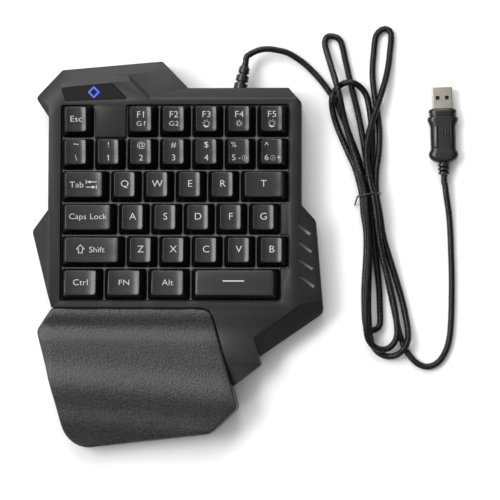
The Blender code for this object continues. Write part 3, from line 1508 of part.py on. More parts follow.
def relief_tip():
    """The place where the cord leaves the strain relief, and its way there."""
    way = Vector((-math.sin(RELIEF_LEAN), math.cos(RELIEF_LEAN)))
    return spot(RELIEF_SHARE) + way * (RELIEF_LENGTH + CORD_JOINT_GAP), way


def main():
    clear_scene()
    parts = make_collection("gaming_keypad", hidden=False)
    helpers = make_collection("helpers", hidden=True)
    make_top_cover(parts, helpers)
    make_bottom_cover(parts, helpers)
    make_palm_rest(parts, helpers)
    make_badge_window(parts)
    make_keys(parts, helpers)
    make_key_frame(parts, helpers)
    make_sheets(parts, helpers)
    make_board(parts, helpers)
    make_screws(parts, helpers)
    make_feet(parts)
    make_strain_relief(parts, helpers)
    make_cord(parts)
    make_twist_tie(parts, helpers)
    make_overmould(parts, helpers)
    make_shell(parts, helpers)


main()
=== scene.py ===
"""Looks of a one-handed gaming keypad: shell, keys, palm rest, tied cord and plug.

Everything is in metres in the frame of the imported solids: +X to the right of the
keypad, +Y to its back edge, and +Z up from the table.
"""

import json
import logging
import math
from collections.abc import Callable, Iterable, Iterator, Sequence
from contextlib import contextmanager
from dataclasses import dataclass, field
from enum import Enum

import bmesh
import bpy
import numpy as np
from mathutils import Matrix, Vector


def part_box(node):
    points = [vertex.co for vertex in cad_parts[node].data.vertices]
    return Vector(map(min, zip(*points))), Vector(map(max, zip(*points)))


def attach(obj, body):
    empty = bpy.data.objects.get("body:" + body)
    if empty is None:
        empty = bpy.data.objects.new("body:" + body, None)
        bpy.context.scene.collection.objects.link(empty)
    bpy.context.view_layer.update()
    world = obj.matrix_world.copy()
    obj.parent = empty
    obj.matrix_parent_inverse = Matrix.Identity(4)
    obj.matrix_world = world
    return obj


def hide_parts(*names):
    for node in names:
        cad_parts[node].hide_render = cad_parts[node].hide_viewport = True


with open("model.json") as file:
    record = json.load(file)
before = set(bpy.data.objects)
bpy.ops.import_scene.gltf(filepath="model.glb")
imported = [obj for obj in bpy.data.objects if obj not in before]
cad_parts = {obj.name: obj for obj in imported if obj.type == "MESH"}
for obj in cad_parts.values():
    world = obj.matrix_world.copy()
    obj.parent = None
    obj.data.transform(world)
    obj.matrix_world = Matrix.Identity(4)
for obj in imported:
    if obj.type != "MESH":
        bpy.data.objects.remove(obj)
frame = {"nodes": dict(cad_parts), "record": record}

LOG = logging.getLogger("gaming_keypad")
CASE = "case"
MM = 0.001
WELD = 0.00002
FINE_WELD = WELD / 10

# How far a cutter stands past what it cuts.
OVERRUN = MM

# How much of a face's normal runs the way that the face is said to look.
FACING = 0.9

# Degrees: what counts as flat in a solid, and the least turn of an edge that is rounded.
FLAT_WITHIN = 1
ROUNDED_FROM = 25

# Degrees: above them an edge stays sharp in the shading, of a copied and of a new piece.
COPY_SHARP_ABOVE = 40
SHARP_ABOVE = 35

# Keys, as in the solids: pitch, skirt height and cap form.
PITCH = 0.01905
SKIRT_BOTTOM = 0.0190
STEM_BOTTOM = 0.0124
CAP_GAP = 0.00095
CAP_SIDE_INSET = 0.0031
CAP_BACK_INSET = 0.0013
CAP_FRONT_INSET = 0.0024
TOP_SHIFT = (CAP_FRONT_INSET - CAP_BACK_INSET) / 2
ROW_HEIGHTS = (0.0098, 0.0096, 0.0088, 0.0084, 0.0084, 0.0088)
ROW_TILTS = tuple(math.radians(angle) for angle in (7, 6, 3, 0, -3, -6))
KEY_ROWS = (
    (("esc", 1), (None, 1), ("f1", 1), ("f2", 1), ("f3", 1), ("f4", 1), ("f5", 1)),
    (("grave", 1), ("1", 1), ("2", 1), ("3", 1), ("4", 1), ("5", 1), ("6", 1)),
    (("tab", 1.5), ("q", 1), ("w", 1), ("e", 1), ("r", 1), ("t", 1.5)),
    (("caps_lock", 1.75), ("a", 1), ("s", 1), ("d", 1), ("f", 1), ("g", 1)),
    (("shift", 2), ("z", 1), ("x", 1), ("c", 1), ("v", 1), ("b", 1)),
    (("ctrl", 4 / 3), ("fn", 4 / 3), ("alt", 4 / 3), ("space", 2.75)),
)

# The cord, and where the relief and the plug stand: a place, and a turn about +Z.
CORD_DIAMETER = 0.0038
JOINT_GAP = 0.0003
RELIEF_PLACE = (0.03596, 0.09718, 0.00915)
RELIEF_TURN = math.radians(-11.6)
RELIEF_LENGTH = 0.0145
PLUG_PLACE = (0.1559, 0.0475, 0.0042)
PLUG_TURN = math.radians(1.4)

# The camera, fitted to the key field, the cap tops and the cord.
CAMERA_PLACE = (0.12114, -0.07016, 1.26941)
CAMERA_TURN = (-0.0578, -0.06235, -0.00228)
FOCAL_PIXELS = 2156.4
PHOTO_PIXELS = 500
SENSOR_MM = 36.0

# The inputs and the output of a Mix node that hold colours.
FIRST_COLOUR, SECOND_COLOUR, MIXED_COLOUR = 6, 7, 2

Triple = tuple[float, float, float]
Colour = tuple[float, float, float, float]


def linear(colour: str) -> Colour:
    """Turns an sRGB hex colour into the linear colour that a shader takes.

    Args:
        colour: six hex digits, red first.

    Returns:
        Red, green, blue and a full alpha.
    """
    parts = [int(colour[i : i + 2], 16) / 255 for i in (0, 2, 4)]
    made = [p / 12.92 if p <= 0.04045 else ((p + 0.055) / 1.055) ** 2.4 for p in parts]
    return (made[0], made[1], made[2], 1.0)


def add_node(
    tree: bpy.types.NodeTree,
    kind: str,
    settings: dict[str | int, object] | None = None,
    links: dict[str | int, bpy.types.Node | bpy.types.NodeSocket] | None = None,
) -> bpy.types.Node:
    """Adds one node to a material, sets it up and links it.

    Args:
        tree: the material's node tree.
        kind: the node's type name.
        settings: values by the name of a property, or by the name or number of an input.
        links: what each input takes: an output, or a node for its first output.

    Returns:
        The new node.
    """
    node = tree.nodes.new(kind)
    for name, value in (settings or {}).items():
        if isinstance(name, str) and hasattr(node, name):
            setattr(node, name, value)
        else:
            node.inputs[name].default_value = value
    for name, source in (links or {}).items():
        output = source.outputs[0] if isinstance(source, bpy.types.Node) else source
        tree.links.new(output, node.inputs[name])
    return node


def new_material(name: str) -> tuple[bpy.types.Material, bpy.types.NodeTree]:
    """Makes an empty node material.

    Args:
        name: the finish's name.

    Returns:
        The material and its node tree, with nothing in it.
    """
    made = bpy.data.materials.new(name)
    made.use_nodes = True
    made.node_tree.nodes.clear()
    return made, made.node_tree


def object_place(tree: bpy.types.NodeTree) -> bpy.types.NodeSocket:
    """Gives the output that holds the place on the piece in metres."""
    return add_node(tree, "ShaderNodeTexCoord").outputs["Object"]


@dataclass(frozen=True)
class MouldedPlastic:
    """Injection-moulded plastic: its grain is the spark-eroded skin of the mould."""

    name: str
    colour: str
    light_colour: str
    roughness: float
    rough_spread: float = 0.06
    grain_mm: float = 0.8
    grain_depth_mm: float = 0.02
    bump: float = 0.35
    patch_mm: float = 14.0
    ior: float = 1.53
    gloss: float = 0.5
    flecks: float = 0.1

    def material(self) -> bpy.types.Material:
        """Builds the material: mottled colour, uneven gloss and a fine grain.

        Returns:
            The material.
        """
        made, tree = new_material(self.name)
        place = object_place(tree)
        grain = add_node(
            tree,
            "ShaderNodeTexNoise",
            {"Scale": 1 / (self.grain_mm * MM), "Detail": 3.0, "Roughness": 0.6},
            {"Vector": place},
        )
        patch = add_node(
            tree,
            "ShaderNodeTexNoise",
            {"Scale": 1 / (self.patch_mm * MM), "Detail": 2.0},
            {"Vector": place},
        )
        fleck = add_node(
            tree,
            "ShaderNodeMapRange",
            {"From Min": 0.35, "From Max": 0.65, "To Min": -self.flecks, "To Max": self.flecks},
            {"Value": grain},
        )
        share = add_node(tree, "ShaderNodeMath", {"operation": "ADD"}, {0: patch, 1: fleck})
        colours = {FIRST_COLOUR: linear(self.colour), SECOND_COLOUR: linear(self.light_colour)}
        tone = add_node(tree, "ShaderNodeMix", {"data_type": "RGBA", **colours}, {0: share})
        low, high = self.roughness - self.rough_spread, self.roughness + self.rough_spread
        gloss = add_node(
            tree, "ShaderNodeMapRange", {"To Min": low, "To Max": high}, {"Value": grain}
        )
        skin = add_node(
            tree,
            "ShaderNodeBump",
            {"Strength": self.bump, "Distance": self.grain_depth_mm * MM},
            {"Height": grain},
        )
        shader = add_node(
            tree,
            "ShaderNodeBsdfPrincipled",
            {"IOR": self.ior, "Specular IOR Level": self.gloss},
            {"Base Color": tone.outputs[MIXED_COLOUR], "Roughness": gloss, "Normal": skin},
        )
        add_node(tree, "ShaderNodeOutputMaterial", links={"Surface": shader})
        return made


@dataclass(frozen=True)
class GlowingPlastic:
    """Clear or milky plastic drawn with a faint glow: lamplight on the backlight's guide and the
    badge, painted light on the frame's ribs and the legends.
    """

    name: str
    colour: str
    glow_colour: str
    glow: float
    roughness: float = 0.35
    patch_mm: float = 9.0
    unevenness: float = 0.3

    def material(self) -> bpy.types.Material:
        """Builds the material: a pale plastic whose glow is uneven in patches.

        Returns:
            The material.
        """
        made, tree = new_material(self.name)
        patch = add_node(
            tree,
            "ShaderNodeTexNoise",
            {"Scale": 1 / (self.patch_mm * MM), "Detail": 1.0},
            {"Vector": object_place(tree)},
        )
        dim, bright = self.glow * (1 - self.unevenness), self.glow * (1 + self.unevenness)
        strength = add_node(
            tree, "ShaderNodeMapRange", {"To Min": dim, "To Max": bright}, {"Value": patch}
        )
        shader = add_node(
            tree,
            "ShaderNodeBsdfPrincipled",
            {
                "Base Color": linear(self.colour),
                "Roughness": self.roughness,
                "Emission Color": linear(self.glow_colour),
            },
            {"Emission Strength": strength},
        )
        add_node(tree, "ShaderNodeOutputMaterial", links={"Surface": shader})
        return made


@dataclass(frozen=True)
class PlatedSteel:
    """Steel sheet, rolled and then plated: soft streaks run along the rolling."""

    name: str
    colour: str
    roughness: float
    streak_mm: float = 0.35
    stretch: float = 12.0
    brighter: float = 0.08
    duller: float = 0.1
    bump: float = 0.15
    depth_mm: float = 0.01

    def material(self) -> bpy.types.Material:
        """Builds the material: bright metal with streaks in its gloss.

        Returns:
            The material.
        """
        made, tree = new_material(self.name)
        along = add_node(
            tree,
            "ShaderNodeMapping",
            {"Scale": (1.0, 1.0 / self.stretch, 1.0)},
            {"Vector": object_place(tree)},
        )
        streak = add_node(
            tree,
            "ShaderNodeTexNoise",
            {"Scale": 1 / (self.streak_mm * MM), "Detail": 3.0},
            {"Vector": along},
        )
        low, high = self.roughness - self.brighter, self.roughness + self.duller
        gloss = add_node(
            tree, "ShaderNodeMapRange", {"To Min": low, "To Max": high}, {"Value": streak}
        )
        skin = add_node(
            tree,
            "ShaderNodeBump",
            {"Strength": self.bump, "Distance": self.depth_mm * MM},
            {"Height": streak},
        )
        shader = add_node(
            tree,
            "ShaderNodeBsdfPrincipled",
            {"Base Color": linear(self.colour), "Metallic": 1.0},
            {"Roughness": gloss, "Normal": skin},
        )
        add_node(tree, "ShaderNodeOutputMaterial", links={"Surface": shader})
        return made


@dataclass(frozen=True)
class BraidedSleeve:
    """Woven nylon sleeve: two sets of yarns cross over and under round the cord.

    A real pick is under 1 mm long, too fine for the render, so it is drawn coarser.
    """

    name: str
    colour: str
    # The colour of the yarns' crowns, lighter than the valleys: a painted highlight.
    light_colour: str
    yarns: int = 6
    pick_mm: float = 1.9
    depth_mm: float = 0.1
    roughness: float = 0.15
    ior: float = 1.53
    gloss: float = 0.28

    def material(self) -> bpy.types.Material:
        """Builds the material on the UV map: U goes round the cord, V is metres along.

        Returns:
            The material.
        """
        made, tree = new_material(self.name)
        uv = add_node(tree, "ShaderNodeTexCoord").outputs["UV"]
        parts = add_node(tree, "ShaderNodeSeparateXYZ", links={0: uv}).outputs
        turns = {"operation": "MULTIPLY", 1: self.yarns}
        turn = add_node(tree, "ShaderNodeMath", turns, {0: parts["X"]})
        picks = {"operation": "DIVIDE", 1: self.pick_mm * MM}
        way = add_node(tree, "ShaderNodeMath", picks, {0: parts["Y"]})
        half_turns = {"operation": "MULTIPLY", 1: math.pi}
        waves, ridges = [], []
        for operation in ("ADD", "SUBTRACT"):
            lean = add_node(tree, "ShaderNodeMath", {"operation": operation}, {0: turn, 1: way})
            angle = add_node(tree, "ShaderNodeMath", half_turns, {0: lean})
            waves.append(add_node(tree, "ShaderNodeMath", {"operation": "SINE"}, {0: angle}))
            ridge = {"operation": "ABSOLUTE"}
            ridges.append(add_node(tree, "ShaderNodeMath", ridge, {0: waves[-1]}))
        product = {"operation": "MULTIPLY"}
        crossing = add_node(tree, "ShaderNodeMath", product, {0: waves[0], 1: waves[1]})
        above = {"operation": "GREATER_THAN", 1: 0.0}
        over = add_node(tree, "ShaderNodeMath", above, {0: crossing})
        yarn = add_node(
            tree, "ShaderNodeMix", {"data_type": "FLOAT"}, {0: over, 2: ridges[0], 3: ridges[1]}
        )
        # The crowns of the yarns are drawn lighter than the valleys between them: a painted
        # highlight.
        colours = {FIRST_COLOUR: linear(self.colour), SECOND_COLOUR: linear(self.light_colour)}
        tone = add_node(tree, "ShaderNodeMix", {"data_type": "RGBA", **colours}, {0: yarn})
        skin = add_node(
            tree,
            "ShaderNodeBump",
            {"Strength": 1.0, "Distance": self.depth_mm * MM},
            {"Height": yarn},
        )
        shader = add_node(
            tree,
            "ShaderNodeBsdfPrincipled",
            {"Roughness": self.roughness, "IOR": self.ior, "Specular IOR Level": self.gloss},
            {"Base Color": tone.outputs[MIXED_COLOUR], "Normal": skin},
        )
        add_node(tree, "ShaderNodeOutputMaterial", links={"Surface": shader})
        return made


@dataclass(frozen=True)
class StudioPaper:
    """Seamless white paper under the object, its tooth drawn coarser than real."""

    name: str
    colour: str
    tooth_mm: float = 1.5
    depth_mm: float = 0.02
    bump: float = 0.05
    roughness: float = 0.9
    gloss: float = 0.2

    def material(self) -> bpy.types.Material:
        """Builds the material: matt paper with a faint tooth.

        Returns:
            The material.
        """
        made, tree = new_material(self.name)
        tooth = add_node(
            tree,
            "ShaderNodeTexNoise",
            {"Scale": 1 / (self.tooth_mm * MM), "Detail": 2.0},
            {"Vector": object_place(tree)},
        )
        skin = add_node(
            tree,
            "ShaderNodeBump",
            {"Strength": self.bump, "Distance": self.depth_mm * MM},
            {"Height": tooth},
        )
        shader = add_node(
            tree,
            "ShaderNodeBsdfPrincipled",
            {
                "Base Color": linear(self.colour),
                "Roughness": self.roughness,
                "Specular IOR Level": self.gloss,
            },
            {"Normal": skin},
        )
        add_node(tree, "ShaderNodeOutputMaterial", links={"Surface": shader})
        return made


class Finish(Enum):
    """Every finish of the keypad. A solid's finish has the name of its material slot.

    The real grains of the moulds are 0.1 to 0.3 mm wide. A pixel of the photograph is
    0.6 mm, so each grain that should show is drawn as coarse as it needs to be.
    """

    # Black ABS from a spark-eroded mould: a dull, faintly grained shell.
    COVER_ABS = MouldedPlastic(
        "cover_abs_eroded", "18181A", "222223", 0.42, rough_spread=0.08, grain_mm=1.0,
        grain_depth_mm=0.12, bump=0.8, gloss=0.32, flecks=0.3,
    )
    # Black ABS under soft-touch paint: a dry, sparkling grain that catches the light.
    PALM_SOFT_TOUCH = MouldedPlastic(
        "palm_soft_touch_paint", "101011", "2A2A2B", 0.36, rough_spread=0.14, grain_mm=1.1,
        grain_depth_mm=0.35, bump=1.0, patch_mm=22.0, flecks=0.9,
    )
    # Polished mould under the wing's slots: their ramps are smooth, and drawn pale grey beside the
    # black cover as a painted highlight.
    RAMP_ABS = MouldedPlastic(
        "slot_ramp_painted_highlight", "4C4C4D", "5A5A5B", 0.3, rough_spread=0.05, gloss=0.8
    )
    # Black ABS keycaps, coated and satin: broad soft highlights in their dishes.
    KEYCAP_ABS = MouldedPlastic(
        "keycap_abs_coated", "09090A", "0E0E0F", 0.27, rough_spread=0.03, grain_mm=1.2,
        grain_depth_mm=0.006, bump=0.2, patch_mm=8.0, gloss=0.47,
    )
    # Grey moulded ABS plate under the caps: a dark, even shade between them.
    KEY_FRAME_ABS = MouldedPlastic("key_frame_grey_abs", "1E1E1F", "252526", 0.5)
    # The plate's pale ribs: thin pale lines between the caps, with a faint painted glow for the
    # light that reaches into the gaps.
    RIB_ABS = GlowingPlastic("key_frame_ribs_painted_glow", "5E5E60", "E8ECF2", 0.03)
    # Smoked acrylic pane, polished: it mirrors the studio.
    BADGE_GLASS = MouldedPlastic(
        "badge_smoked_acrylic", "09090B", "0C0C0E", 0.07, rough_spread=0.02, grain_mm=2.0,
        grain_depth_mm=0.002, bump=0.05, patch_mm=20.0, ior=1.49, gloss=0.3,
    )
    # Moulded silicone: milky, matt domes.
    DOME_RUBBER = MouldedPlastic("dome_silicone", "D6D6D2", "E0E0DC", 0.6, grain_depth_mm=0.01)
    # Printed polyester film: pale and smooth.
    MEMBRANE_FILM = MouldedPlastic("membrane_polyester", "C8D2CC", "D2DAD4", 0.3)
    # Light-guide acrylic, cut from sheet: it glows evenly.
    BACKLIGHT_ACRYLIC = GlowingPlastic("backlight_acrylic", "EDEFF3", "F0F4FF", 0.4, 0.15)
    # Glass-filled epoxy board under green solder mask: a satin green.
    BOARD_RESIN = MouldedPlastic("board_epoxy", "1B5A33", "226A3C", 0.4)
    # Moulded rubber feet: dull and nearly black.
    FOOT_RUBBER = MouldedPlastic("foot_rubber", "1A1A1A", "202020", 0.8)
    # Zinc-plated steel: a soft grey gleam.
    SCREW_STEEL = PlatedSteel("screw_zinc_steel", "9B9DA0", 0.35)
    # Black braided nylon over the cord: small glints on every yarn, and the yarns' crowns drawn
    # lighter than the valleys as a painted highlight.
    CORD_BRAID = BraidedSleeve("cord_nylon_braid", "020202", "0A0A0A")
    # Moulded black PVC: smooth, with narrow highlights.
    PLUG_PVC = MouldedPlastic(
        "plug_pvc_moulded", "0E0E0F", "141415", 0.27, rough_spread=0.04, grain_mm=0.9,
        grain_depth_mm=0.003, bump=0.3, gloss=0.42,
    )
    # Nickel-plated steel sheet of the plug's shell: a warm silver.
    PLUG_STEEL = PlatedSteel("plug_nickel_steel", "A19D93", 0.3)
    # Moulded insulator, drawn black as painted shade: it makes the shell's windows look dark.
    PLUG_INSULATOR = MouldedPlastic("plug_insulator_painted_shade", "141414", "1A1A1A", 0.5)
    # Wire in a black plastic coat: a thin, shiny tie.
    TIE_WIRE = MouldedPlastic("tie_plastic_coat", "1C1C1D", "242425", 0.3)
    # Paint of the legends, etched for a backlight: clear white signs, with a faint painted glow
    # that keeps them bright.
    LEGEND_INK = GlowingPlastic("legend_white_painted_glow", "B0B0B0", "FFFFFF", 0.1)
    # Blue plastic with a lamp behind it: the lit lozenge on the pane.
    BADGE_LIGHT = GlowingPlastic("badge_blue_light", "27418F", "3A62FF", 1.1, 0.3, 2.0)

    def get(self) -> bpy.types.Material:
        """Gives the material of this finish, made once."""
        return bpy.data.materials.get(self.value.name) or self.value.material()


def node_slots() -> dict[str, str]:
    """Gives the material slot of every solid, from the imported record."""
    return {row["node"]: row["material_slot"] for row in frame["record"]["subparts"]}


def new_object(name: str, mesh: bpy.types.Mesh) -> bpy.types.Object:
    """Puts a mesh into the scene as an object.

    Args:
        name: the object's name.
        mesh: its mesh.

    Returns:
        The new object.
    """
    obj = bpy.data.objects.new(name, mesh)
    bpy.context.scene.collection.objects.link(obj)
    return obj


def deselect_all() -> None:
    """Clears the selection, because operators act on all that is selected."""
    for obj in bpy.context.selected_objects:
        obj.select_set(False)


def make_active(obj: bpy.types.Object) -> None:
    """Selects one object only, and makes it active.

    Args:
        obj: the object to work on.
    """
    deselect_all()
    obj.select_set(True)
    bpy.context.view_layer.objects.active = obj


@contextmanager
def edit_mode(obj: bpy.types.Object) -> Iterator[None]:
    """Opens a piece's mesh for operators, and closes it again.

    Args:
        obj: the piece to edit.
    """
    make_active(obj)
    bpy.ops.object.mode_set(mode="EDIT")
    yield
    bpy.ops.object.mode_set(mode="OBJECT")


def pick(obj: bpy.types.Object, kind: str, test: Callable[[object], bool]) -> None:
    """Selects the parts of the open mesh that pass a test, and nothing else.

    Args:
        obj: the piece, in edit mode.
        kind: EDGE or FACE.
        test: says of an edge or a face whether it is picked.
    """
    bpy.ops.mesh.select_mode(type=kind)
    bpy.ops.mesh.select_all(action="DESELECT")
    mesh = bmesh.from_edit_mesh(obj.data)
    for item in {"EDGE": mesh.edges, "FACE": mesh.faces}[kind]:
        if test(item):
            item.select_set(True)
    mesh.select_mode = {kind}
    mesh.select_flush_mode()
    bmesh.update_edit_mesh(obj.data)


def runs_along(axis: int, length: float) -> Callable[[bmesh.types.BMEdge], bool]:
    """Makes the test for edges that reach further than a length along an axis."""
    return lambda edge: abs(edge.verts[0].co[axis] - edge.verts[1].co[axis]) > length


def on_top_rim(edge: bmesh.types.BMEdge) -> bool:
    """Says whether an edge of the open mesh lies between its top and a side."""
    return sorted(face.normal.z > FACING for face in edge.link_faces) == [False, True]


def looks_down(face: bmesh.types.BMFace) -> bool:
    """Says whether a face of the open mesh looks down."""
    return face.normal.z < -FACING


def take_all() -> None:
    """Selects the whole open mesh."""
    bpy.ops.mesh.select_all(action="SELECT")


def push(x: float, y: float, z: float) -> None:
    """Extrudes what is selected in the open mesh, so far along each axis."""
    bpy.ops.mesh.extrude_region_move(TRANSFORM_OT_translate={"value": (x, y, z)})


def face_outwards() -> None:
    """Turns every face of the open mesh outwards."""
    take_all()
    bpy.ops.mesh.normals_make_consistent(inside=False)


def cut_across(axis: int, places: Iterable[float]) -> None:
    """Cuts edges right through the open mesh, across one axis.

    Args:
        axis: 0 for X or 1 for Y.
        places: where along the axis.
    """
    for place in places:
        take_all()
        if axis == 0:
            bpy.ops.mesh.bisect(plane_co=(place, 0, 0), plane_no=(1, 0, 0))
        else:
            bpy.ops.mesh.bisect(plane_co=(0, place, 0), plane_no=(0, 1, 0))


def settle(obj: bpy.types.Object) -> None:
    """Puts the piece's place, turn and scale into its mesh.

    Args:
        obj: the piece.
    """
    make_active(obj)
    bpy.ops.object.transform_apply(location=True, rotation=True, scale=True)


def apply_all(obj: bpy.types.Object) -> None:
    """Applies the piece's modifiers in order.

    Args:
        obj: the piece.
    """
    make_active(obj)
    for modifier in list(obj.modifiers):
        bpy.ops.object.modifier_apply(modifier=modifier.name)


def smooth(obj: bpy.types.Object, degrees: float) -> None:
    """Shades the piece smoothly across edges flatter than an angle.

    Args:
        obj: the piece.
        degrees: the angle above which an edge stays sharp.
    """
    make_active(obj)
    bpy.ops.object.shade_smooth_by_angle(angle=math.radians(degrees))


def dress(obj: bpy.types.Object, finish: Finish) -> None:
    """Gives a piece one material.

    Args:
        obj: the piece.
        finish: what it is made of.
    """
    obj.data.materials.clear()
    obj.data.materials.append(finish.get())


def enter(
    obj: bpy.types.Object, finish: Finish, slot: str, *replaced: str, body: str = CASE
) -> None:
    """Dresses a finished piece, gives it its body, and reports it.

    Args:
        obj: the piece.
        finish: what it is made of.
        slot: the record's material slot that it belongs to; not used.
        replaced: the solids that it stands for.
        body: the body that it moves with.
    """
    dress(obj, finish)
    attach(obj, body)
    if replaced:
        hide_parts(*replaced)
    LOG.info("%s: %d faces", obj.name, len(obj.data.polygons))


def merged_copy(node: str) -> bpy.types.Object:
    """Copies a solid's mesh as one merged piece, to be finished further.

    Args:
        node: the solid's name.

    Returns:
        The copy.
    """
    obj = new_object(node + "_form", frame["nodes"][node].data.copy())
    with edit_mode(obj):
        take_all()
        bpy.ops.mesh.remove_doubles(threshold=WELD)
        bpy.ops.mesh.dissolve_limited(angle_limit=math.radians(FLAT_WITHIN))
    return obj


def soften(obj: bpy.types.Object, width: float, segments: int) -> None:
    """Rounds a piece's edges with a Bevel modifier, and applies it.

    Args:
        obj: the piece.
        width: how far the rounding reaches from the edge.
        segments: how many faces cross it.
    """
    bevel = obj.modifiers.new("soft_edges", "BEVEL")
    bevel.width = width
    bevel.segments = segments
    bevel.limit_method = "ANGLE"
    bevel.angle_limit = math.radians(ROUNDED_FROM)
    bevel.harden_normals = False
    bevel.use_clamp_overlap = True
    apply_all(obj)


def finished_copy(
    node: str, name: str, finish: Finish, width: float, segments: int = 2
) -> bpy.types.Object:
    """Replaces a solid by a copy of it with soft edges and a real finish.

    Args:
        node: the solid's name.
        name: the new piece's name.
        finish: what it is made of.
        width: how far its edges are rounded.
        segments: how many faces cross a rounding.

    Returns:
        The new piece.
    """
    obj = merged_copy(node)
    obj.name = name
    if width > 0:
        soften(obj, width, segments)
    smooth(obj, COPY_SHARP_ABOVE)
    enter(obj, finish, node_slots()[node], node)
    return obj


def stand_in(
    obj: bpy.types.Object, node: str, finish: Finish, degrees: float = SHARP_ABOVE
) -> None:
    """Finishes a new piece and lets it stand for a solid.

    Args:
        obj: the piece, in its place.
        node: the solid that it replaces.
        finish: what it is made of.
        degrees: the angle above which an edge stays sharp.
    """
    smooth(obj, degrees)
    enter(obj, finish, node_slots()[node], node)


def rounded_outline(corners: Sequence[Triple], step: float) -> list[tuple[float, float]]:
    """Gives an outline's points, with an arc in each corner.

    Args:
        corners: x, y and radius of each corner, anticlockwise.
        step: the turn between two points of an arc, in degrees.

    Returns:
        The points, anticlockwise.
    """
    points = []
    for i, (x, y, radius) in enumerate(corners):
        corner = Vector((x, y))
        before, after = Vector(corners[i - 1][:2]), Vector(corners[(i + 1) % len(corners)][:2])
        coming, going = (corner - before).normalized(), (after - corner).normalized()
        turn = math.atan2(coming.cross(going), coming.dot(going))
        start = corner - coming * radius * math.tan(abs(turn) / 2)
        centre = start + Vector((-coming.y, coming.x)) * math.copysign(radius, turn)
        steps = max(1, round(math.degrees(abs(turn)) / step))
        for i_step in range(steps + 1):
            spoke = start - centre
            spoke.rotate(Matrix.Rotation(turn * i_step / steps, 2))
            points.append(tuple(centre + spoke))
    return points


def drawn_out(
    name: str, profile: Sequence[Triple], corner: float, steps: int
) -> bpy.types.Object:
    """Draws a rounded section out along +Y, wider and narrower as a profile says.

    Args:
        name: the piece's name.
        profile: place along, half width and half thickness, from end to end.
        corner: the section's corner radius at the first place, or 0 for a round section.
        steps: faces round a corner, or round the whole of a round section.

    Returns:
        The piece, with its axis on +Y.
    """
    deselect_all()
    along, wide, thick = profile[0]
    if corner:
        bpy.ops.mesh.primitive_plane_add(size=2)
    else:
        bpy.ops.mesh.primitive_circle_add(vertices=steps, radius=1, fill_type="NGON")
    obj = bpy.context.object
    obj.name = name
    obj.scale = (wide, thick, 1)
    obj.location = (0, along, 0)
    obj.rotation_euler = (math.radians(90), 0, 0)
    settle(obj)
    with edit_mode(obj):
        take_all()
        if corner:
            bpy.ops.mesh.bevel(offset=corner, segments=steps, affect="VERTICES")
            take_all()
        for (y, wide, thick), (far_y, far_wide, far_thick) in zip(profile, profile[1:]):
            push(0, far_y - y, 0)
            bpy.ops.transform.resize(value=(far_wide / wide, 1, far_thick / thick))
        face_outwards()
    return obj


def combine(
    obj: bpy.types.Object, other: bpy.types.Object, operation: str, crossing: bool = False
) -> None:
    """Adds an object to a piece, or cuts it out of the piece, and removes it.

    Args:
        obj: the piece.
        other: what is added or cut out.
        operation: UNION or DIFFERENCE.
        crossing: whether the other object has parts that cross each other.
    """
    joint = obj.modifiers.new("joint", "BOOLEAN")
    joint.operation = operation
    joint.solver = "EXACT"
    joint.use_self = crossing
    joint.object = other
    apply_all(obj)
    bpy.data.objects.remove(other)


def join_all(parts: Sequence[bpy.types.Object]) -> bpy.types.Object:
    """Joins objects into the first of them.

    Args:
        parts: what to join.

    Returns:
        The first object, which holds them all.
    """
    make_active(parts[0])
    for part in parts[1:]:
        part.select_set(True)
    if len(parts) > 1:
        bpy.ops.object.join()
    return parts[0]


def solid_box(
    low: Sequence[float], high: Sequence[float], edge: float = 0.0, steps: int = 2
) -> bpy.types.Object:
    """Adds a box between two corners, its edges rounded.

    Args:
        low: its lowest corner.
        high: its highest corner.
        edge: how far its edges are rounded.
        steps: how many faces cross a rounding.

    Returns:
        The box.
    """
    deselect_all()
    start, end = Vector(low), Vector(high)
    bpy.ops.mesh.primitive_cube_add(size=1, location=(start + end) / 2)
    obj = bpy.context.object
    obj.scale = end - start
    settle(obj)
    if edge:
        with edit_mode(obj):
            take_all()
            bpy.ops.mesh.bevel(offset=edge, segments=steps, profile=0.5)
    return obj


def hole_cutter(
    low: Sequence[float], high: Sequence[float], corner: float, steps: int = 3
) -> bpy.types.Object:
    """Adds an upright box with rounded corners, to be cut out of a piece.

    Args:
        low: its lowest corner.
        high: its highest corner.
        corner: the radius of its upright edges.
        steps: how many faces cross a rounding.

    Returns:
        The box.
    """
    obj = solid_box(low, high)
    with edit_mode(obj):
        pick(obj, "EDGE", runs_along(2, OVERRUN))
        bpy.ops.mesh.bevel(offset=corner, segments=steps, profile=0.5)
    return obj


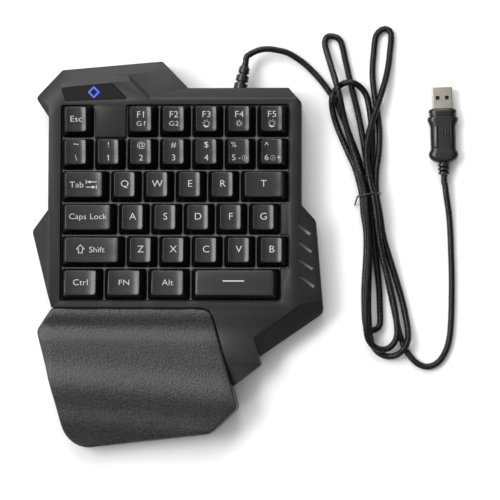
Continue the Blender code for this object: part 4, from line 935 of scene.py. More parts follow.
@dataclass
class PalmRest:
    """The palm rest: a hollow shell, waved along the hand, with a rolled rim."""

    corners: tuple[Triple, ...] = (
        (-0.07290, -0.03171, 0.0018),
        (-0.08197, -0.04461, 0.0052),
        (-0.06379, -0.11466, 0.0160),
        (0.01996, -0.10511, 0.0090),
        (0.03636, -0.08973, 0.0040),
        (0.01996, -0.03180, 0.0066),
    )
    wave: tuple[tuple[float, float], ...] = (
        (-0.0312, 0.0210),
        (-0.0351, 0.0214),
        (-0.0434, 0.0193),
        (-0.0514, 0.0210),
        (-0.0655, 0.0205),
        (-0.0790, 0.0227),
        (-0.0965, 0.0185),
        (-0.1153, 0.0125),
    )
    foot: float = 0.0093
    wall: float = 0.0016
    rim: float = 0.0016
    rim_steps: int = 4
    arc_step: float = 6.0
    stations: int = 5
    slant: float = 0.08
    slant_start: float = 0.0080
    slant_reach: float = 0.0350
    slant_middle: float = -0.0240
    cross_cuts: int = 12
    sharp_above: float = 50.0

    def build(self) -> None:
        """Builds the shell flat, then lays its top and ceiling along the wave."""
        top = max(height for _, height in self.wave)
        points = rounded_outline(self.corners, self.arc_step)
        deselect_all()
        bpy.ops.mesh.primitive_circle_add(vertices=len(points), fill_type="NGON")
        obj = bpy.context.object
        obj.name = "palm_cushion_shell"
        for vert, place in zip(obj.data.vertices, points):
            vert.co = (*place, self.foot)
        with edit_mode(obj):
            take_all()
            push(0, 0, top - self.foot)
            face_outwards()
            pick(obj, "EDGE", on_top_rim)
            bpy.ops.mesh.bevel(offset=self.rim, segments=self.rim_steps, profile=0.5)
            pick(obj, "FACE", looks_down)
            bpy.ops.mesh.inset(thickness=self.wall)
            push(0, 0, top - self.foot - self.wall)
            cut_across(1, self.wave_stations())
            left, right = (end(x for x, _ in points) for end in (min, max))
            shares = [cut / self.cross_cuts for cut in range(1, self.cross_cuts)]
            cut_across(0, [left + (right - left) * share for share in shares])
        for vert in obj.data.vertices:
            if vert.co.z > top - max(self.rim, self.wall) - WELD:
                vert.co.z += self.height_at(self.along_wave(vert.co.x, vert.co.y)) - top
        stand_in(obj, "palm_rest", Finish.PALM_SOFT_TOUCH, self.sharp_above)

    def along_wave(self, x: float, y: float) -> float:
        """Gives the place along the wave, whose crests slant more and more.

        Args:
            x: the place across the hand.
            y: the place along the hand.

        Returns:
            The place along the hand at which the wave is read.
        """
        gone = (self.wave[0][0] - self.slant_start - y) / self.slant_reach
        return y + self.slant * min(1, max(0, gone)) * (x - self.slant_middle)

    def wave_stations(self) -> list[float]:
        """Gives the places along the hand at which the top is cut.

        Returns:
            As many places for each stretch of the wave, from its back end.
        """
        found = []
        for (near, _), (far, _) in zip(self.wave, self.wave[1:]):
            found += [near + (far - near) * i / self.stations for i in range(self.stations)]
        return found

    def height_at(self, y: float) -> float:
        """Gives the height of the wave, eased from knot to knot.

        Args:
            y: the place along the hand.

        Returns:
            The height in metres.
        """
        if y >= self.wave[0][0]:
            return self.wave[0][1]
        for (near, high), (far, low) in zip(self.wave, self.wave[1:]):
            if y >= far:
                part = (near - y) / (near - far)
                return high + (low - high) * (1 - math.cos(math.pi * part)) / 2
        return self.wave[-1][1]


@dataclass
class WingSlots:
    """The four slots in the right wing: each has a floor that ramps up to its front end.

    The wing falls away to the right from its crease, which is as high as the rim.
    """

    ends: tuple[tuple[float, float, float, float], ...] = (
        (0.07083, 0.01736, 0.07777, 0.01142),
        (0.07085, 0.00753, 0.07860, 0.00113),
        (0.07089, -0.00298, 0.07928, -0.00881),
        (0.07212, -0.01270, 0.08011, -0.01910),
    )
    crease: float = 0.06829
    fall: float = math.tan(math.radians(18))
    rim: float = 0.0208
    width: float = 0.0017
    depth: float = 0.0020
    bed: float = 0.0004
    flat_share: float = 0.42
    clearance: float = 0.00003
    sharp_above: float = 30.0

    def build(self, cover: bpy.types.Object) -> None:
        """Opens the slots in the cover and sets a ramp in each.

        Args:
            cover: the top cover's piece.
        """
        cutters, ramps = [], []
        for ends in self.ends:
            cutters.append(self.bar(ends, self.width, OVERRUN))
            ramps.append(self.bar(ends, self.width - 2 * self.clearance, 0))
        combine(cover, join_all(cutters), "DIFFERENCE", True)
        smooth(cover, COPY_SHARP_ABOVE)
        obj = join_all(ramps)
        obj.name = "wing_slot_ramps"
        smooth(obj, self.sharp_above)
        # The ramps belong to the black cover but are drawn pale grey: a painted highlight.
        enter(obj, Finish.RAMP_ABS, "cover_abs")

    def bar(
        self, ends: tuple[float, float, float, float], width: float, above: float
    ) -> bpy.types.Object:
        """Makes one slot's ramp, or with some height above it the slot's cutter.

        Args:
            ends: x and y of both ends.
            width: across the slot.
            above: how far a cutter stands over the wing, or 0 for a ramp.

        Returns:
            A mesh object in its place.
        """
        start, end = Vector(ends[:2]), Vector(ends[2:])
        length = (end - start).length
        inset = 0 if above else self.clearance
        top = 1
        obj = solid_box((inset, -width / 2, 0), (length - inset, width / 2, top))
        if not above:
            with edit_mode(obj):
                cut_across(0, [length * self.flat_share, length * (1 + self.flat_share) / 2])
        ahead = (end - start) / length
        side = Vector((-ahead.y, ahead.x))
        for vert in obj.data.vertices:
            place = start + ahead * vert.co.x + side * vert.co.y
            flank = self.rim - (place.x - self.crease) * self.fall
            share = vert.co.x / length
            ramp = max(0, (share - self.flat_share) / (1 - self.flat_share))
            if vert.co.z < top / 2:
                height = flank - self.depth - self.bed - (self.clearance if above else 0)
            elif above:
                height = flank + above
            else:
                height = flank - self.depth * (1 - ramp) - 2 * self.clearance
            vert.co = (*place, height)
        return obj


@dataclass
class Shell:
    """The covers, the palm rest and the head's pane."""

    edge: float = 0.0004
    under_edge: float = 0.0003
    pane_edge: float = 0.00015
    pane_rise: float = -0.00012
    lozenge_size: float = 0.0036
    lozenge_ring: float = 0.0009
    lozenge_height: float = 0.00008
    lozenge_cuts: int = 2

    def build(self) -> None:
        """Builds each piece of the shell."""
        cover = finished_copy("top_cover", "shell_top", Finish.COVER_ABS, self.edge)
        WingSlots().build(cover)
        finished_copy("bottom_cover", "shell_bottom", Finish.COVER_ABS, self.under_edge, 1)
        PalmRest().build()
        pane = finished_copy("badge_window", "head_pane", Finish.BADGE_GLASS, self.pane_edge, 1)
        pane.data.transform(Matrix.Translation((0, 0, self.pane_rise)))
        self.lozenge()

    def lozenge(self) -> None:
        """Builds the plain lit lozenge in the middle of the pane."""
        low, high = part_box("badge_window")
        centre = (low + high) / 2
        deselect_all()
        bpy.ops.mesh.primitive_circle_add(
            vertices=4, radius=self.lozenge_size, fill_type="NGON", location=(0, 0, 0)
        )
        obj = bpy.context.object
        obj.name = "head_lozenge"
        with edit_mode(obj):
            take_all()
            bpy.ops.mesh.inset(thickness=self.lozenge_ring)
            bpy.ops.mesh.delete(type="FACE")
            take_all()
            bpy.ops.mesh.subdivide(number_cuts=self.lozenge_cuts)
            push(0, 0, self.lozenge_height)
            face_outwards()
        obj.location = (centre.x, centre.y, high.z + self.pane_rise - self.lozenge_height / 4)
        settle(obj)
        enter(obj, Finish.BADGE_LIGHT, "badge_glass")


@dataclass(frozen=True)
class Glyph:
    """One sign on a keycap: what it says, and its place and size in millimetres."""

    text: str
    across: float = 0.0
    along: float = 0.0
    size: float = 4.6
    stretch: float = 1.12


@dataclass(frozen=True)
class Arrow:
    """A thin arrow that runs to a stop bar, in millimetres; it points left at -1."""

    across: float
    along: float
    points: int
    length: float = 6.4
    line: float = 0.42
    head: float = 1.9
    head_share: float = 0.45
    bar: float = 2.2


@dataclass(frozen=True)
class Flag:
    """The slanted stroke at the head of a digit one, in millimetres and degrees."""

    across: float
    along: float
    length: float = 1.1
    line: float = 0.4
    slant: float = 40.0


LEGENDS: dict[str, tuple[Glyph | Arrow | Flag, ...]] = {
    "esc": (Glyph("Esc", -0.1, 0.1, 4.9, 1.15),),
    "f1": (
        Glyph("F1", 0, 2.5, 5.2),
        Flag(1.85, 4.2),
        Glyph("G1", 0, -2.7, 3.8, 1.3),
        Flag(2.45, -1.45, 0.9),
    ),
    "f2": (Glyph("F2", 0, 2.5, 5.2), Glyph("G2", 0, -2.7, 3.8, 1.3)),
    "f3": (Glyph("F3", 0, 2.5, 5.2), Glyph("☀", 0, -2.9, 4.6, 1.0)),
    "f4": (Glyph("F4", 0, 2.5, 5.2), Glyph("☼", 0, -2.9, 4.6, 1.0)),
    "f5": (Glyph("F5", 0, 2.5, 5.2), Glyph("☀", 0, -2.9, 4.6, 1.0)),
    "grave": (Glyph("~", 0, 4.6, 5.4), Glyph("\\", 0, -3.6, 4.8)),
    "1": (Glyph("!", 0, 3.9, 4.8), Glyph("1", 0, -3.6, 4.9), Flag(0.1, -2.0)),
    "2": (Glyph("@", 0, 3.9, 4.5), Glyph("2", 0, -3.6, 4.9)),
    "3": (Glyph("#", 0, 3.9, 4.8), Glyph("3", 0, -3.6, 4.9)),
    "4": (Glyph("$", 0, 3.9, 4.8), Glyph("4", 0, -3.6, 4.9)),
    "5": (
        Glyph("%", -3.1, 3.9, 4.4),
        Glyph("5", -3.1, -3.6, 4.9),
        Glyph("-", 0.2, -3.6, 4.4),
        Glyph("⊙", 3.1, -3.6, 4.4, 1.0),
    ),
    "6": (
        Glyph("^", -3.1, 3.6, 4.8),
        Glyph("6", -3.1, -3.6, 4.9),
        Glyph("⊙", 0.6, -3.6, 4.4, 1.0),
        Glyph("+", 4.0, -3.6, 4.4, 1.0),
    ),
    "tab": (Glyph("Tab", -4.3, -0.2, 4.9), Arrow(4.3, 1.5, -1), Arrow(4.3, -1.5, 1)),
    "caps_lock": (Glyph("Caps", -6.0, 0.3, 4.7, 1.1), Glyph("Lock", 6.0, 0.3, 4.7, 1.1)),
    "shift": (Glyph("⇧", -6.6, 0, 6.6, 1.0), Glyph("Shift", 2.9, 0, 4.7)),
    "ctrl": (Glyph("Ctrl", 0, 0, 5.0),),
    "fn": (Glyph("FN", 0, 0, 4.5, 1.25),),
    "alt": (Glyph("Alt", 0, 0, 4.9),),
}
LEGENDS |= {letter: (Glyph(letter.upper(), 0, 0.3, 5.7, 1.08),) for letter in "qwertasdfgzxcvb"}


@dataclass(frozen=True)
class Key:
    """One key: its row from the back, its width in pitches, and the middle of its foot."""

    name: str
    row: int
    width: float
    place: Vector

    def foot(self) -> tuple[float, float]:
        """Gives the width and depth of the skirt's foot."""
        return self.width * PITCH - CAP_GAP, PITCH - CAP_GAP

    def top(self) -> tuple[float, float]:
        """Gives the width and depth of the cap's top."""
        across, deep = self.foot()
        return across - 2 * CAP_SIDE_INSET, deep - CAP_BACK_INSET - CAP_FRONT_INSET


@dataclass
class KeyField:
    """The caps with their legends, and the pale ribs that show between them."""

    top_edge: float = 0.00045
    top_edge_steps: int = 3
    rim_share: float = 1.5
    corner: float = 0.0015
    corner_steps: int = 5
    wall: float = 0.0013
    ceiling: float = 0.0062
    stem: float = 0.0056
    stem_joint: float = 0.0005
    dish_cuts: int = 12
    curl_cuts: int = 5
    dish: float = 0.0010
    crown: float = 0.0006
    crowned_width: float = 2.0
    front_curl: float = 0.0003
    dish_power: float = 3.0
    ink_height: float = 0.00004
    thinner: float = 0.00004
    text_steps: int = 3
    dash: tuple[float, float] = (0.0124, 0.0007)
    dash_place: tuple[float, float] = (-0.0006, 0.0010)
    dash_cuts: tuple[float, ...] = (-0.3, -0.1, 0.1, 0.3)
    rib_top: float = 0.0174
    rib_foot: float = 0.0151
    rib_clearance: float = 0.0002
    shapes: dict[tuple[float, int], bpy.types.Mesh] = field(default_factory=dict)

    def build(self) -> None:
        """Builds every key at its place and on its own body, then the ribs."""
        for key in self.keys():
            self.key(key)
            self.legend(key)
        self.ribs()

    def keys(self) -> list[Key]:
        """Gives every key, row by row from the back, each from the left.

        Returns:
            The keys.
        """
        low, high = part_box("key_esc")
        left, back = low.x - CAP_GAP / 2, high.y + CAP_GAP / 2
        found = []
        for row, cells in enumerate(KEY_ROWS):
            column = 0.0
            for name, width in cells:
                x = left + (column + width / 2) * PITCH
                y = back - (row + 0.5) * PITCH
                if name:
                    found.append(Key(name, row, width, Vector((x, y, SKIRT_BOTTOM))))
                column += width
        return found

    def key(self, key: Key) -> None:
        """Builds one key's cap. Keys of one row and width have the same form.

        Args:
            key: which key.
        """
        form = (key.width, key.row)
        if form not in self.shapes:
            self.shapes[form] = self.cap(key)
        obj = new_object("cap_" + key.name, self.shapes[form].copy())
        obj.data.transform(Matrix.Translation(key.place))
        node = "key_" + key.name
        enter(obj, Finish.KEYCAP_ABS, "keycap_abs", node, body=node)

    def surface(self, key: Key, x: float, y: float) -> float:
        """Gives the height of the cap's top above its skirt's foot.

        Args:
            key: which key.
            x: how far right of its middle.
            y: how far behind its middle.

        Returns:
            The height in metres.
        """
        across, deep = key.top()
        dish = -self.crown if key.width > self.crowned_width else self.dish
        bowl = dish * (1 - min(1, abs(2 * x / across) ** self.dish_power))
        ahead = min(1, max(0, 2 * (TOP_SHIFT - y) / deep))
        bowl += self.front_curl * (1 - ahead**self.dish_power)
        return ROW_HEIGHTS[key.row] + math.tan(ROW_TILTS[key.row]) * (y - TOP_SHIFT) - bowl

    def cap(self, key: Key) -> bpy.types.Mesh:
        """Models one cap: a tapered box, rounded, dished and hollowed, with its stem.

        Args:
            key: a key that has this form.

        Returns:
            The finished mesh, round the middle of the skirt's foot.
        """
        (across, deep), (top_across, top_deep) = key.foot(), key.top()
        height = ROW_HEIGHTS[key.row]
        obj = solid_box((-across / 2, -deep / 2, 0), (across / 2, deep / 2, height))
        with edit_mode(obj):
            pick(obj, "FACE", lambda face: face.normal.z > FACING)
            bpy.ops.transform.resize(value=(top_across / across, top_deep / deep, 1))
            bpy.ops.transform.translate(value=(0, TOP_SHIFT, 0))
            pick(obj, "EDGE", runs_along(2, height / 2))
            bpy.ops.mesh.bevel(offset=self.corner, segments=self.corner_steps, profile=0.5)
            pick(obj, "EDGE", on_top_rim)
            bpy.ops.mesh.bevel(offset=self.top_edge, segments=self.top_edge_steps, profile=0.5)
            reach = top_across / 2 - self.corner - self.top_edge
            cuts = range(self.dish_cuts + 1)
            cut_across(0, [reach * (2 * cut / self.dish_cuts - 1) for cut in cuts])
            reach = top_deep / 2 - self.corner - self.top_edge
            cuts = range(self.curl_cuts + 1)
            cut_across(1, [TOP_SHIFT - reach * cut / self.curl_cuts for cut in cuts])
        for vert in obj.data.vertices:
            if vert.co.z > height - self.rim_share * self.top_edge:
                vert.co.z += self.surface(key, vert.co.x, vert.co.y) - height
        with edit_mode(obj):
            self.hollow(obj, key)
        half, low = self.stem / 2, STEM_BOTTOM - SKIRT_BOTTOM
        stem = solid_box((-half, -half, low), (half, half, self.ceiling + self.stem_joint))
        combine(obj, stem, "UNION")
        smooth(obj, SHARP_ABOVE)
        mesh = obj.data
        bpy.data.objects.remove(obj)
        return mesh

    def hollow(self, obj: bpy.types.Object, key: Key) -> None:
        """Sinks the open mesh's underside up to the ceiling, tapered as the cap is.

        Args:
            obj: the cap, in edit mode.
            key: which key.
        """
        pick(obj, "FACE", looks_down)
        bpy.ops.mesh.inset(thickness=self.wall)
        push(0, 0, self.ceiling)
        share = self.ceiling / ROW_HEIGHTS[0]
        taper = [1 - share * (1 - top / foot) for top, foot in zip(key.top(), key.foot())]
        bpy.ops.transform.resize(value=(*taper, 1))

    def legend(self, key: Key) -> None:
        """Lays a key's generic signs, or the space key's bar, on the surface of its cap.

        Args:
            key: which key.
        """
        makers = {Glyph: self.sign, Arrow: self.arrow, Flag: self.flag}
        signs = [makers[type(sign)](sign) for sign in LEGENDS.get(key.name, ())]
        obj = join_all(signs or [self.bar()])
        obj.name = "legend_" + key.name
        for vert in obj.data.vertices:
            x, y = vert.co.x, vert.co.y + TOP_SHIFT
            height = self.surface(key, x, y) + vert.co.z + self.ink_height / 2
            vert.co = key.place + Vector((x, y, height))
        # The legends' faint glow is painted light.
        enter(obj, Finish.LEGEND_INK, "keycap_abs", body="key_" + key.name)

    def sign(self, glyph: Glyph) -> bpy.types.Object:
        """Makes one sign as a thin solid, flat at z = 0.

        Args:
            glyph: what it says, and where.

        Returns:
            A mesh object.
        """
        deselect_all()
        bpy.ops.object.text_add(location=(glyph.across * MM, glyph.along * MM, 0))
        obj = bpy.context.object
        obj.data.body = glyph.text
        obj.data.size = glyph.size * MM
        obj.data.align_x = "CENTER"
        obj.data.align_y = "CENTER"
        obj.data.extrude = self.ink_height
        obj.data.offset = -self.thinner
        obj.data.resolution_u = self.text_steps
        obj.scale.x = glyph.stretch
        make_active(obj)
        bpy.ops.object.convert(target="MESH")
        obj = bpy.context.object
        settle(obj)
        with edit_mode(obj):
            take_all()
            bpy.ops.mesh.remove_doubles(threshold=FINE_WELD)
            bpy.ops.mesh.normals_make_consistent(inside=False)
        return obj

    def flag(self, flag: Flag) -> bpy.types.Object:
        """Makes the stroke that leaves the head of a digit one down to the left.

        Args:
            flag: its place and size.

        Returns:
            A mesh object, flat at z = 0.
        """
        half, ink = flag.line * MM / 2, self.ink_height
        obj = solid_box((-flag.length * MM, -half, -ink), (0, half, ink))
        turn = Matrix.Rotation(math.radians(flag.slant), 4, "Z")
        obj.data.transform(Matrix.Translation((flag.across * MM, flag.along * MM, 0)) @ turn)
        return obj

    def arrow(self, arrow: Arrow) -> bpy.types.Object:
        """Makes an arrow from a shaft, a three-cornered head and a stop bar.

        Args:
            arrow: its place and size.

        Returns:
            A mesh object, flat at z = 0.
        """
        reach, line, ink = arrow.length * MM / 2, arrow.line * MM / 2, self.ink_height
        neck = reach - (arrow.head + 2 * arrow.line) * MM
        shaft = solid_box((-reach, -line, -ink), (neck, line, ink))
        stop = arrow.bar * MM / 2
        bar = solid_box((reach - 2 * line, -stop, -ink), (reach, stop, ink))
        deselect_all()
        bpy.ops.mesh.primitive_circle_add(vertices=3, fill_type="NGON")
        head = bpy.context.object
        wide = arrow.head_share * arrow.head * MM
        corners = ((neck, -wide), (reach - 3 * line, 0), (neck, wide))
        for vert, corner in zip(head.data.vertices, corners):
            vert.co = (*corner, -ink)
        with edit_mode(head):
            take_all()
            push(0, 0, 2 * ink)
            face_outwards()
        obj = join_all([shaft, bar, head])
        turn = Matrix.Rotation(0 if arrow.points > 0 else math.pi, 4, "Z")
        obj.data.transform(Matrix.Translation((arrow.across * MM, arrow.along * MM, 0)) @ turn)
        return obj

    def bar(self) -> bpy.types.Object:
        """Makes the space key's plain bar, flat at z = 0 and cut up to follow its crown.

        Returns:
            A mesh object.
        """
        deselect_all()
        bpy.ops.mesh.primitive_cube_add(size=1, location=(*self.dash_place, 0))
        obj = bpy.context.object
        obj.scale = (*self.dash, 2 * self.ink_height)
        settle(obj)
        with edit_mode(obj):
            cut_across(0, [cut * self.dash[0] for cut in self.dash_cuts])
        return obj

    def ribs(self) -> None:
        """Builds the pale ribs of the key frame that show in the gaps between caps, with a faint
        painted glow.
        """
        half = (PITCH - CAP_GAP) / 2
        bands, holes = [], []
        last = len(KEY_ROWS) - 1
        for row in range(len(KEY_ROWS)):
            cells = [(k.place, k.width * PITCH / 2) for k in self.keys() if k.row == row]
            left = min(place.x - reach for place, reach in cells) + CAP_GAP / 2
            right = max(place.x + reach for place, reach in cells) - CAP_GAP / 2
            y = cells[0][0].y
            front = y - (half if row == last else PITCH / 2 + WELD)
            back = y + (half if row == 0 else PITCH / 2)
            bands.append(solid_box((left, front, self.rib_foot), (right, back, self.rib_top)))
            for place, reach in cells:
                across = reach - CAP_GAP / 2 + self.rib_clearance
                deep = half + self.rib_clearance
                low = (place.x - across, place.y - deep, self.rib_foot - OVERRUN)
                high = (place.x + across, place.y + deep, self.rib_top + OVERRUN)
                holes.append(hole_cutter(low, high, self.corner))
        blank = solid_box(*self.blank_cell())
        obj = join_all(bands)
        obj.name = "frame_ribs"
        combine(obj, join_all([*holes, blank]), "DIFFERENCE", True)
        enter(obj, Finish.RIB_ABS, "key_frame_abs")

    def blank_cell(self) -> tuple[Triple, Triple]:
        """Gives the corners of the cell in the back row that has no key.

        Returns:
            Its lowest and its highest corner.
        """
        low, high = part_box("key_esc")
        x = high.x + CAP_GAP / 2
        return (
            (x, low.y - CAP_GAP, self.rib_foot - OVERRUN),
            (x + PITCH, high.y + CAP_GAP, self.rib_top + OVERRUN),
        )


def rings_of(node: str, start: Vector, count: int) -> list[Vector]:
    """Follows a bent round bar's solid ring by ring, from one of its ends.

    Args:
        node: the solid's name.
        start: a point at the end to start from.
        count: how many corners a ring has.

    Returns:
        The middle of every ring, in order.
    """
    mesh = bmesh.new()
    mesh.from_mesh(frame["nodes"][node].data)
    bmesh.ops.remove_doubles(mesh, verts=mesh.verts, dist=FINE_WELD)
    mesh.verts.index_update()
    ring = sorted(mesh.verts, key=lambda v: (v.co - start).length)[:count]
    seen = set(ring)
    middles = []
    while ring:
        middles.append(sum((v.co for v in ring), Vector()) / len(ring))
        following = {
            other
            for vert in ring
            for edge in vert.link_edges
            for other in [edge.other_vert(vert)]
            if other not in seen
        }
        seen |= following
        ring = sorted(following, key=lambda v: v.index)
    mesh.free()
    return middles


def flowing(points: Sequence[Vector], step: float, cuts: int = 8) -> list[Vector]:
    """Runs a smooth curve through points, and spaces it evenly.

    Args:
        points: what the curve passes through.
        step: the distance between its new points.
        cuts: how many straight cuts stand for the curve between two points.

    Returns:
        The points along the curve.
    """
    fine: list[Vector] = []
    ends = [points[0] * 2 - points[1], *points, points[-1] * 2 - points[-2]]
    for a, b, c, d in zip(ends, ends[1:], ends[2:], ends[3:]):
        reach = [max((q - p).length ** 0.5, WELD) for p, q in ((a, b), (b, c), (c, d))]
        out = (b - a) / reach[0] - (c - a) / (reach[0] + reach[1]) + (c - b) / reach[1]
        into = (c - b) / reach[1] - (d - b) / (reach[1] + reach[2]) + (d - c) / reach[2]
        out, into = out * reach[1], into * reach[1]
        for cut in range(cuts):
            t = cut / cuts
            fine.append(
                b * (2 * t**3 - 3 * t**2 + 1)
                + out * (t**3 - 2 * t**2 + t)
                + c * (3 * t**2 - 2 * t**3)
                + into * (t**3 - t**2)
            )
    fine.append(points[-1])
    gone = np.concatenate([[0], np.cumsum([(q - p).length for p, q in zip(fine, fine[1:])])])
    wanted = np.linspace(0, gone[-1], max(2, round(gone[-1] / step)))
    table = np.array(fine)
    columns = [np.interp(wanted, gone, table[:, axis]) for axis in range(3)]
    return [Vector(place) for place in zip(*columns)]


@dataclass
class Cord:
    """The braided cord: one tube from the strain relief through the hank to the plug.

    A real pick is under 1 mm long, too fine for the render, so it is drawn coarser.
    """

    diameter: float = CORD_DIAMETER
    step: float = 0.00045
    sides: int = 24
    yarns: int = 4
    pick: float = 0.0024
    relief: float = 0.00025
    end_sides: int = 8
    hank_sides: int = 6
    route: list[Vector] = field(default_factory=list)

    def build(self) -> bpy.types.Object:
        """Builds the whole cord.

        Returns:
            The cord's piece.
        """
        self.route = flowing(self.middle_line(), self.step)
        obj = self.tube()
        enter(obj, Finish.CORD_BRAID, "cord_braid", "cord_lead", "cord_hank", "cord_tail")
        return obj

    def middle_line(self) -> list[Vector]:
        """Gives the middle line of the whole cord, from the solids' rings.

        Returns:
            Its points, from the strain relief to the plug.
        """
        reach = RELIEF_LENGTH + JOINT_GAP
        way = Vector((-math.sin(RELIEF_TURN), math.cos(RELIEF_TURN), 0))
        lead = rings_of("cord_lead", Vector(RELIEF_PLACE) + way * reach, self.end_sides)
        hank = rings_of("cord_hank", lead[-1], self.hank_sides)
        tail = rings_of("cord_tail", hank[-1], self.end_sides)
        return [*lead[:-1], *hank[:-1], *tail]

    def length(self) -> float:
        """Gives the cord's length along its route."""
        return sum((b - a).length for a, b in zip(self.route, self.route[1:]))

    def tube(self) -> bpy.types.Object:
        """Skins the route with a round tube whose UV map follows it.

        Returns:
            The tube.
        """
        mesh = bmesh.new()
        uv = mesh.loops.layers.uv.new("braid")
        rows, gone, side = [], 0.0, Vector((0, 0, 1))
        for i, place in enumerate(self.route):
            ahead = self.route[min(i + 1, len(self.route) - 1)]
            behind = self.route[max(i - 1, 0)]
            way = (ahead - behind).normalized()
            side = (side - way * side.dot(way)).normalized()
            other = way.cross(side)
            if i:
                gone += (place - self.route[i - 1]).length
            ring = []
            for turn in range(self.sides):
                angle = math.tau * turn / self.sides
                spoke = side * math.cos(angle) + other * math.sin(angle)
                radius = self.diameter / 2 - self.relief * self.sunk(turn / self.sides, gone)
                ring.append(mesh.verts.new(place + spoke * radius))
            rows.append((ring, gone))
        for (low, near), (high, far) in zip(rows, rows[1:]):
            for turn in range(self.sides):
                after = (turn + 1) % self.sides
                face = mesh.faces.new((low[turn], low[after], high[after], high[turn]))
                shares = (turn, turn + 1, turn + 1, turn)
                for loop, share, distance in zip(face.loops, shares, (near, near, far, far)):
                    loop[uv].uv = (share / self.sides, distance)
                face.smooth = True
        mesh.faces.new(rows[0][0][::-1])
        mesh.faces.new(rows[-1][0])
        data = bpy.data.meshes.new("braided_cord")
        mesh.to_mesh(data)
        mesh.free()
        return new_object("braided_cord", data)

    def sunk(self, turn: float, gone: float) -> float:
        """Says how deep a point of the braid lies, as a share of its relief.

        Args:
            turn: the share of a turn round the cord.
            gone: the distance along the cord.

        Returns:
            0 on top of a yarn, and up to 1 between yarns.
        """
        first = math.sin(math.pi * (self.yarns * turn + gone / self.pick))
        second = math.sin(math.pi * (self.yarns * turn - gone / self.pick))
        return 1 - abs(second if first * second > 0 else first)

    def declare(self, pieces: Sequence[bpy.types.Object]) -> None:
        """Works out the cord's length along its route, rounded to a millimetre, and keeps nothing
        of it.

        Args:
            pieces: what is on it; not used.
        """
        round(self.length(), 3)


@dataclass(frozen=True)
class GripBar:
    """A raised bar on the plug's grip, in millimetres in the plug's own frame."""

    start: tuple[float, float]
    end: tuple[float, float]
    top: float
    width: float = 0.5
    depth: float = 0.6
    roll: float = 0.0


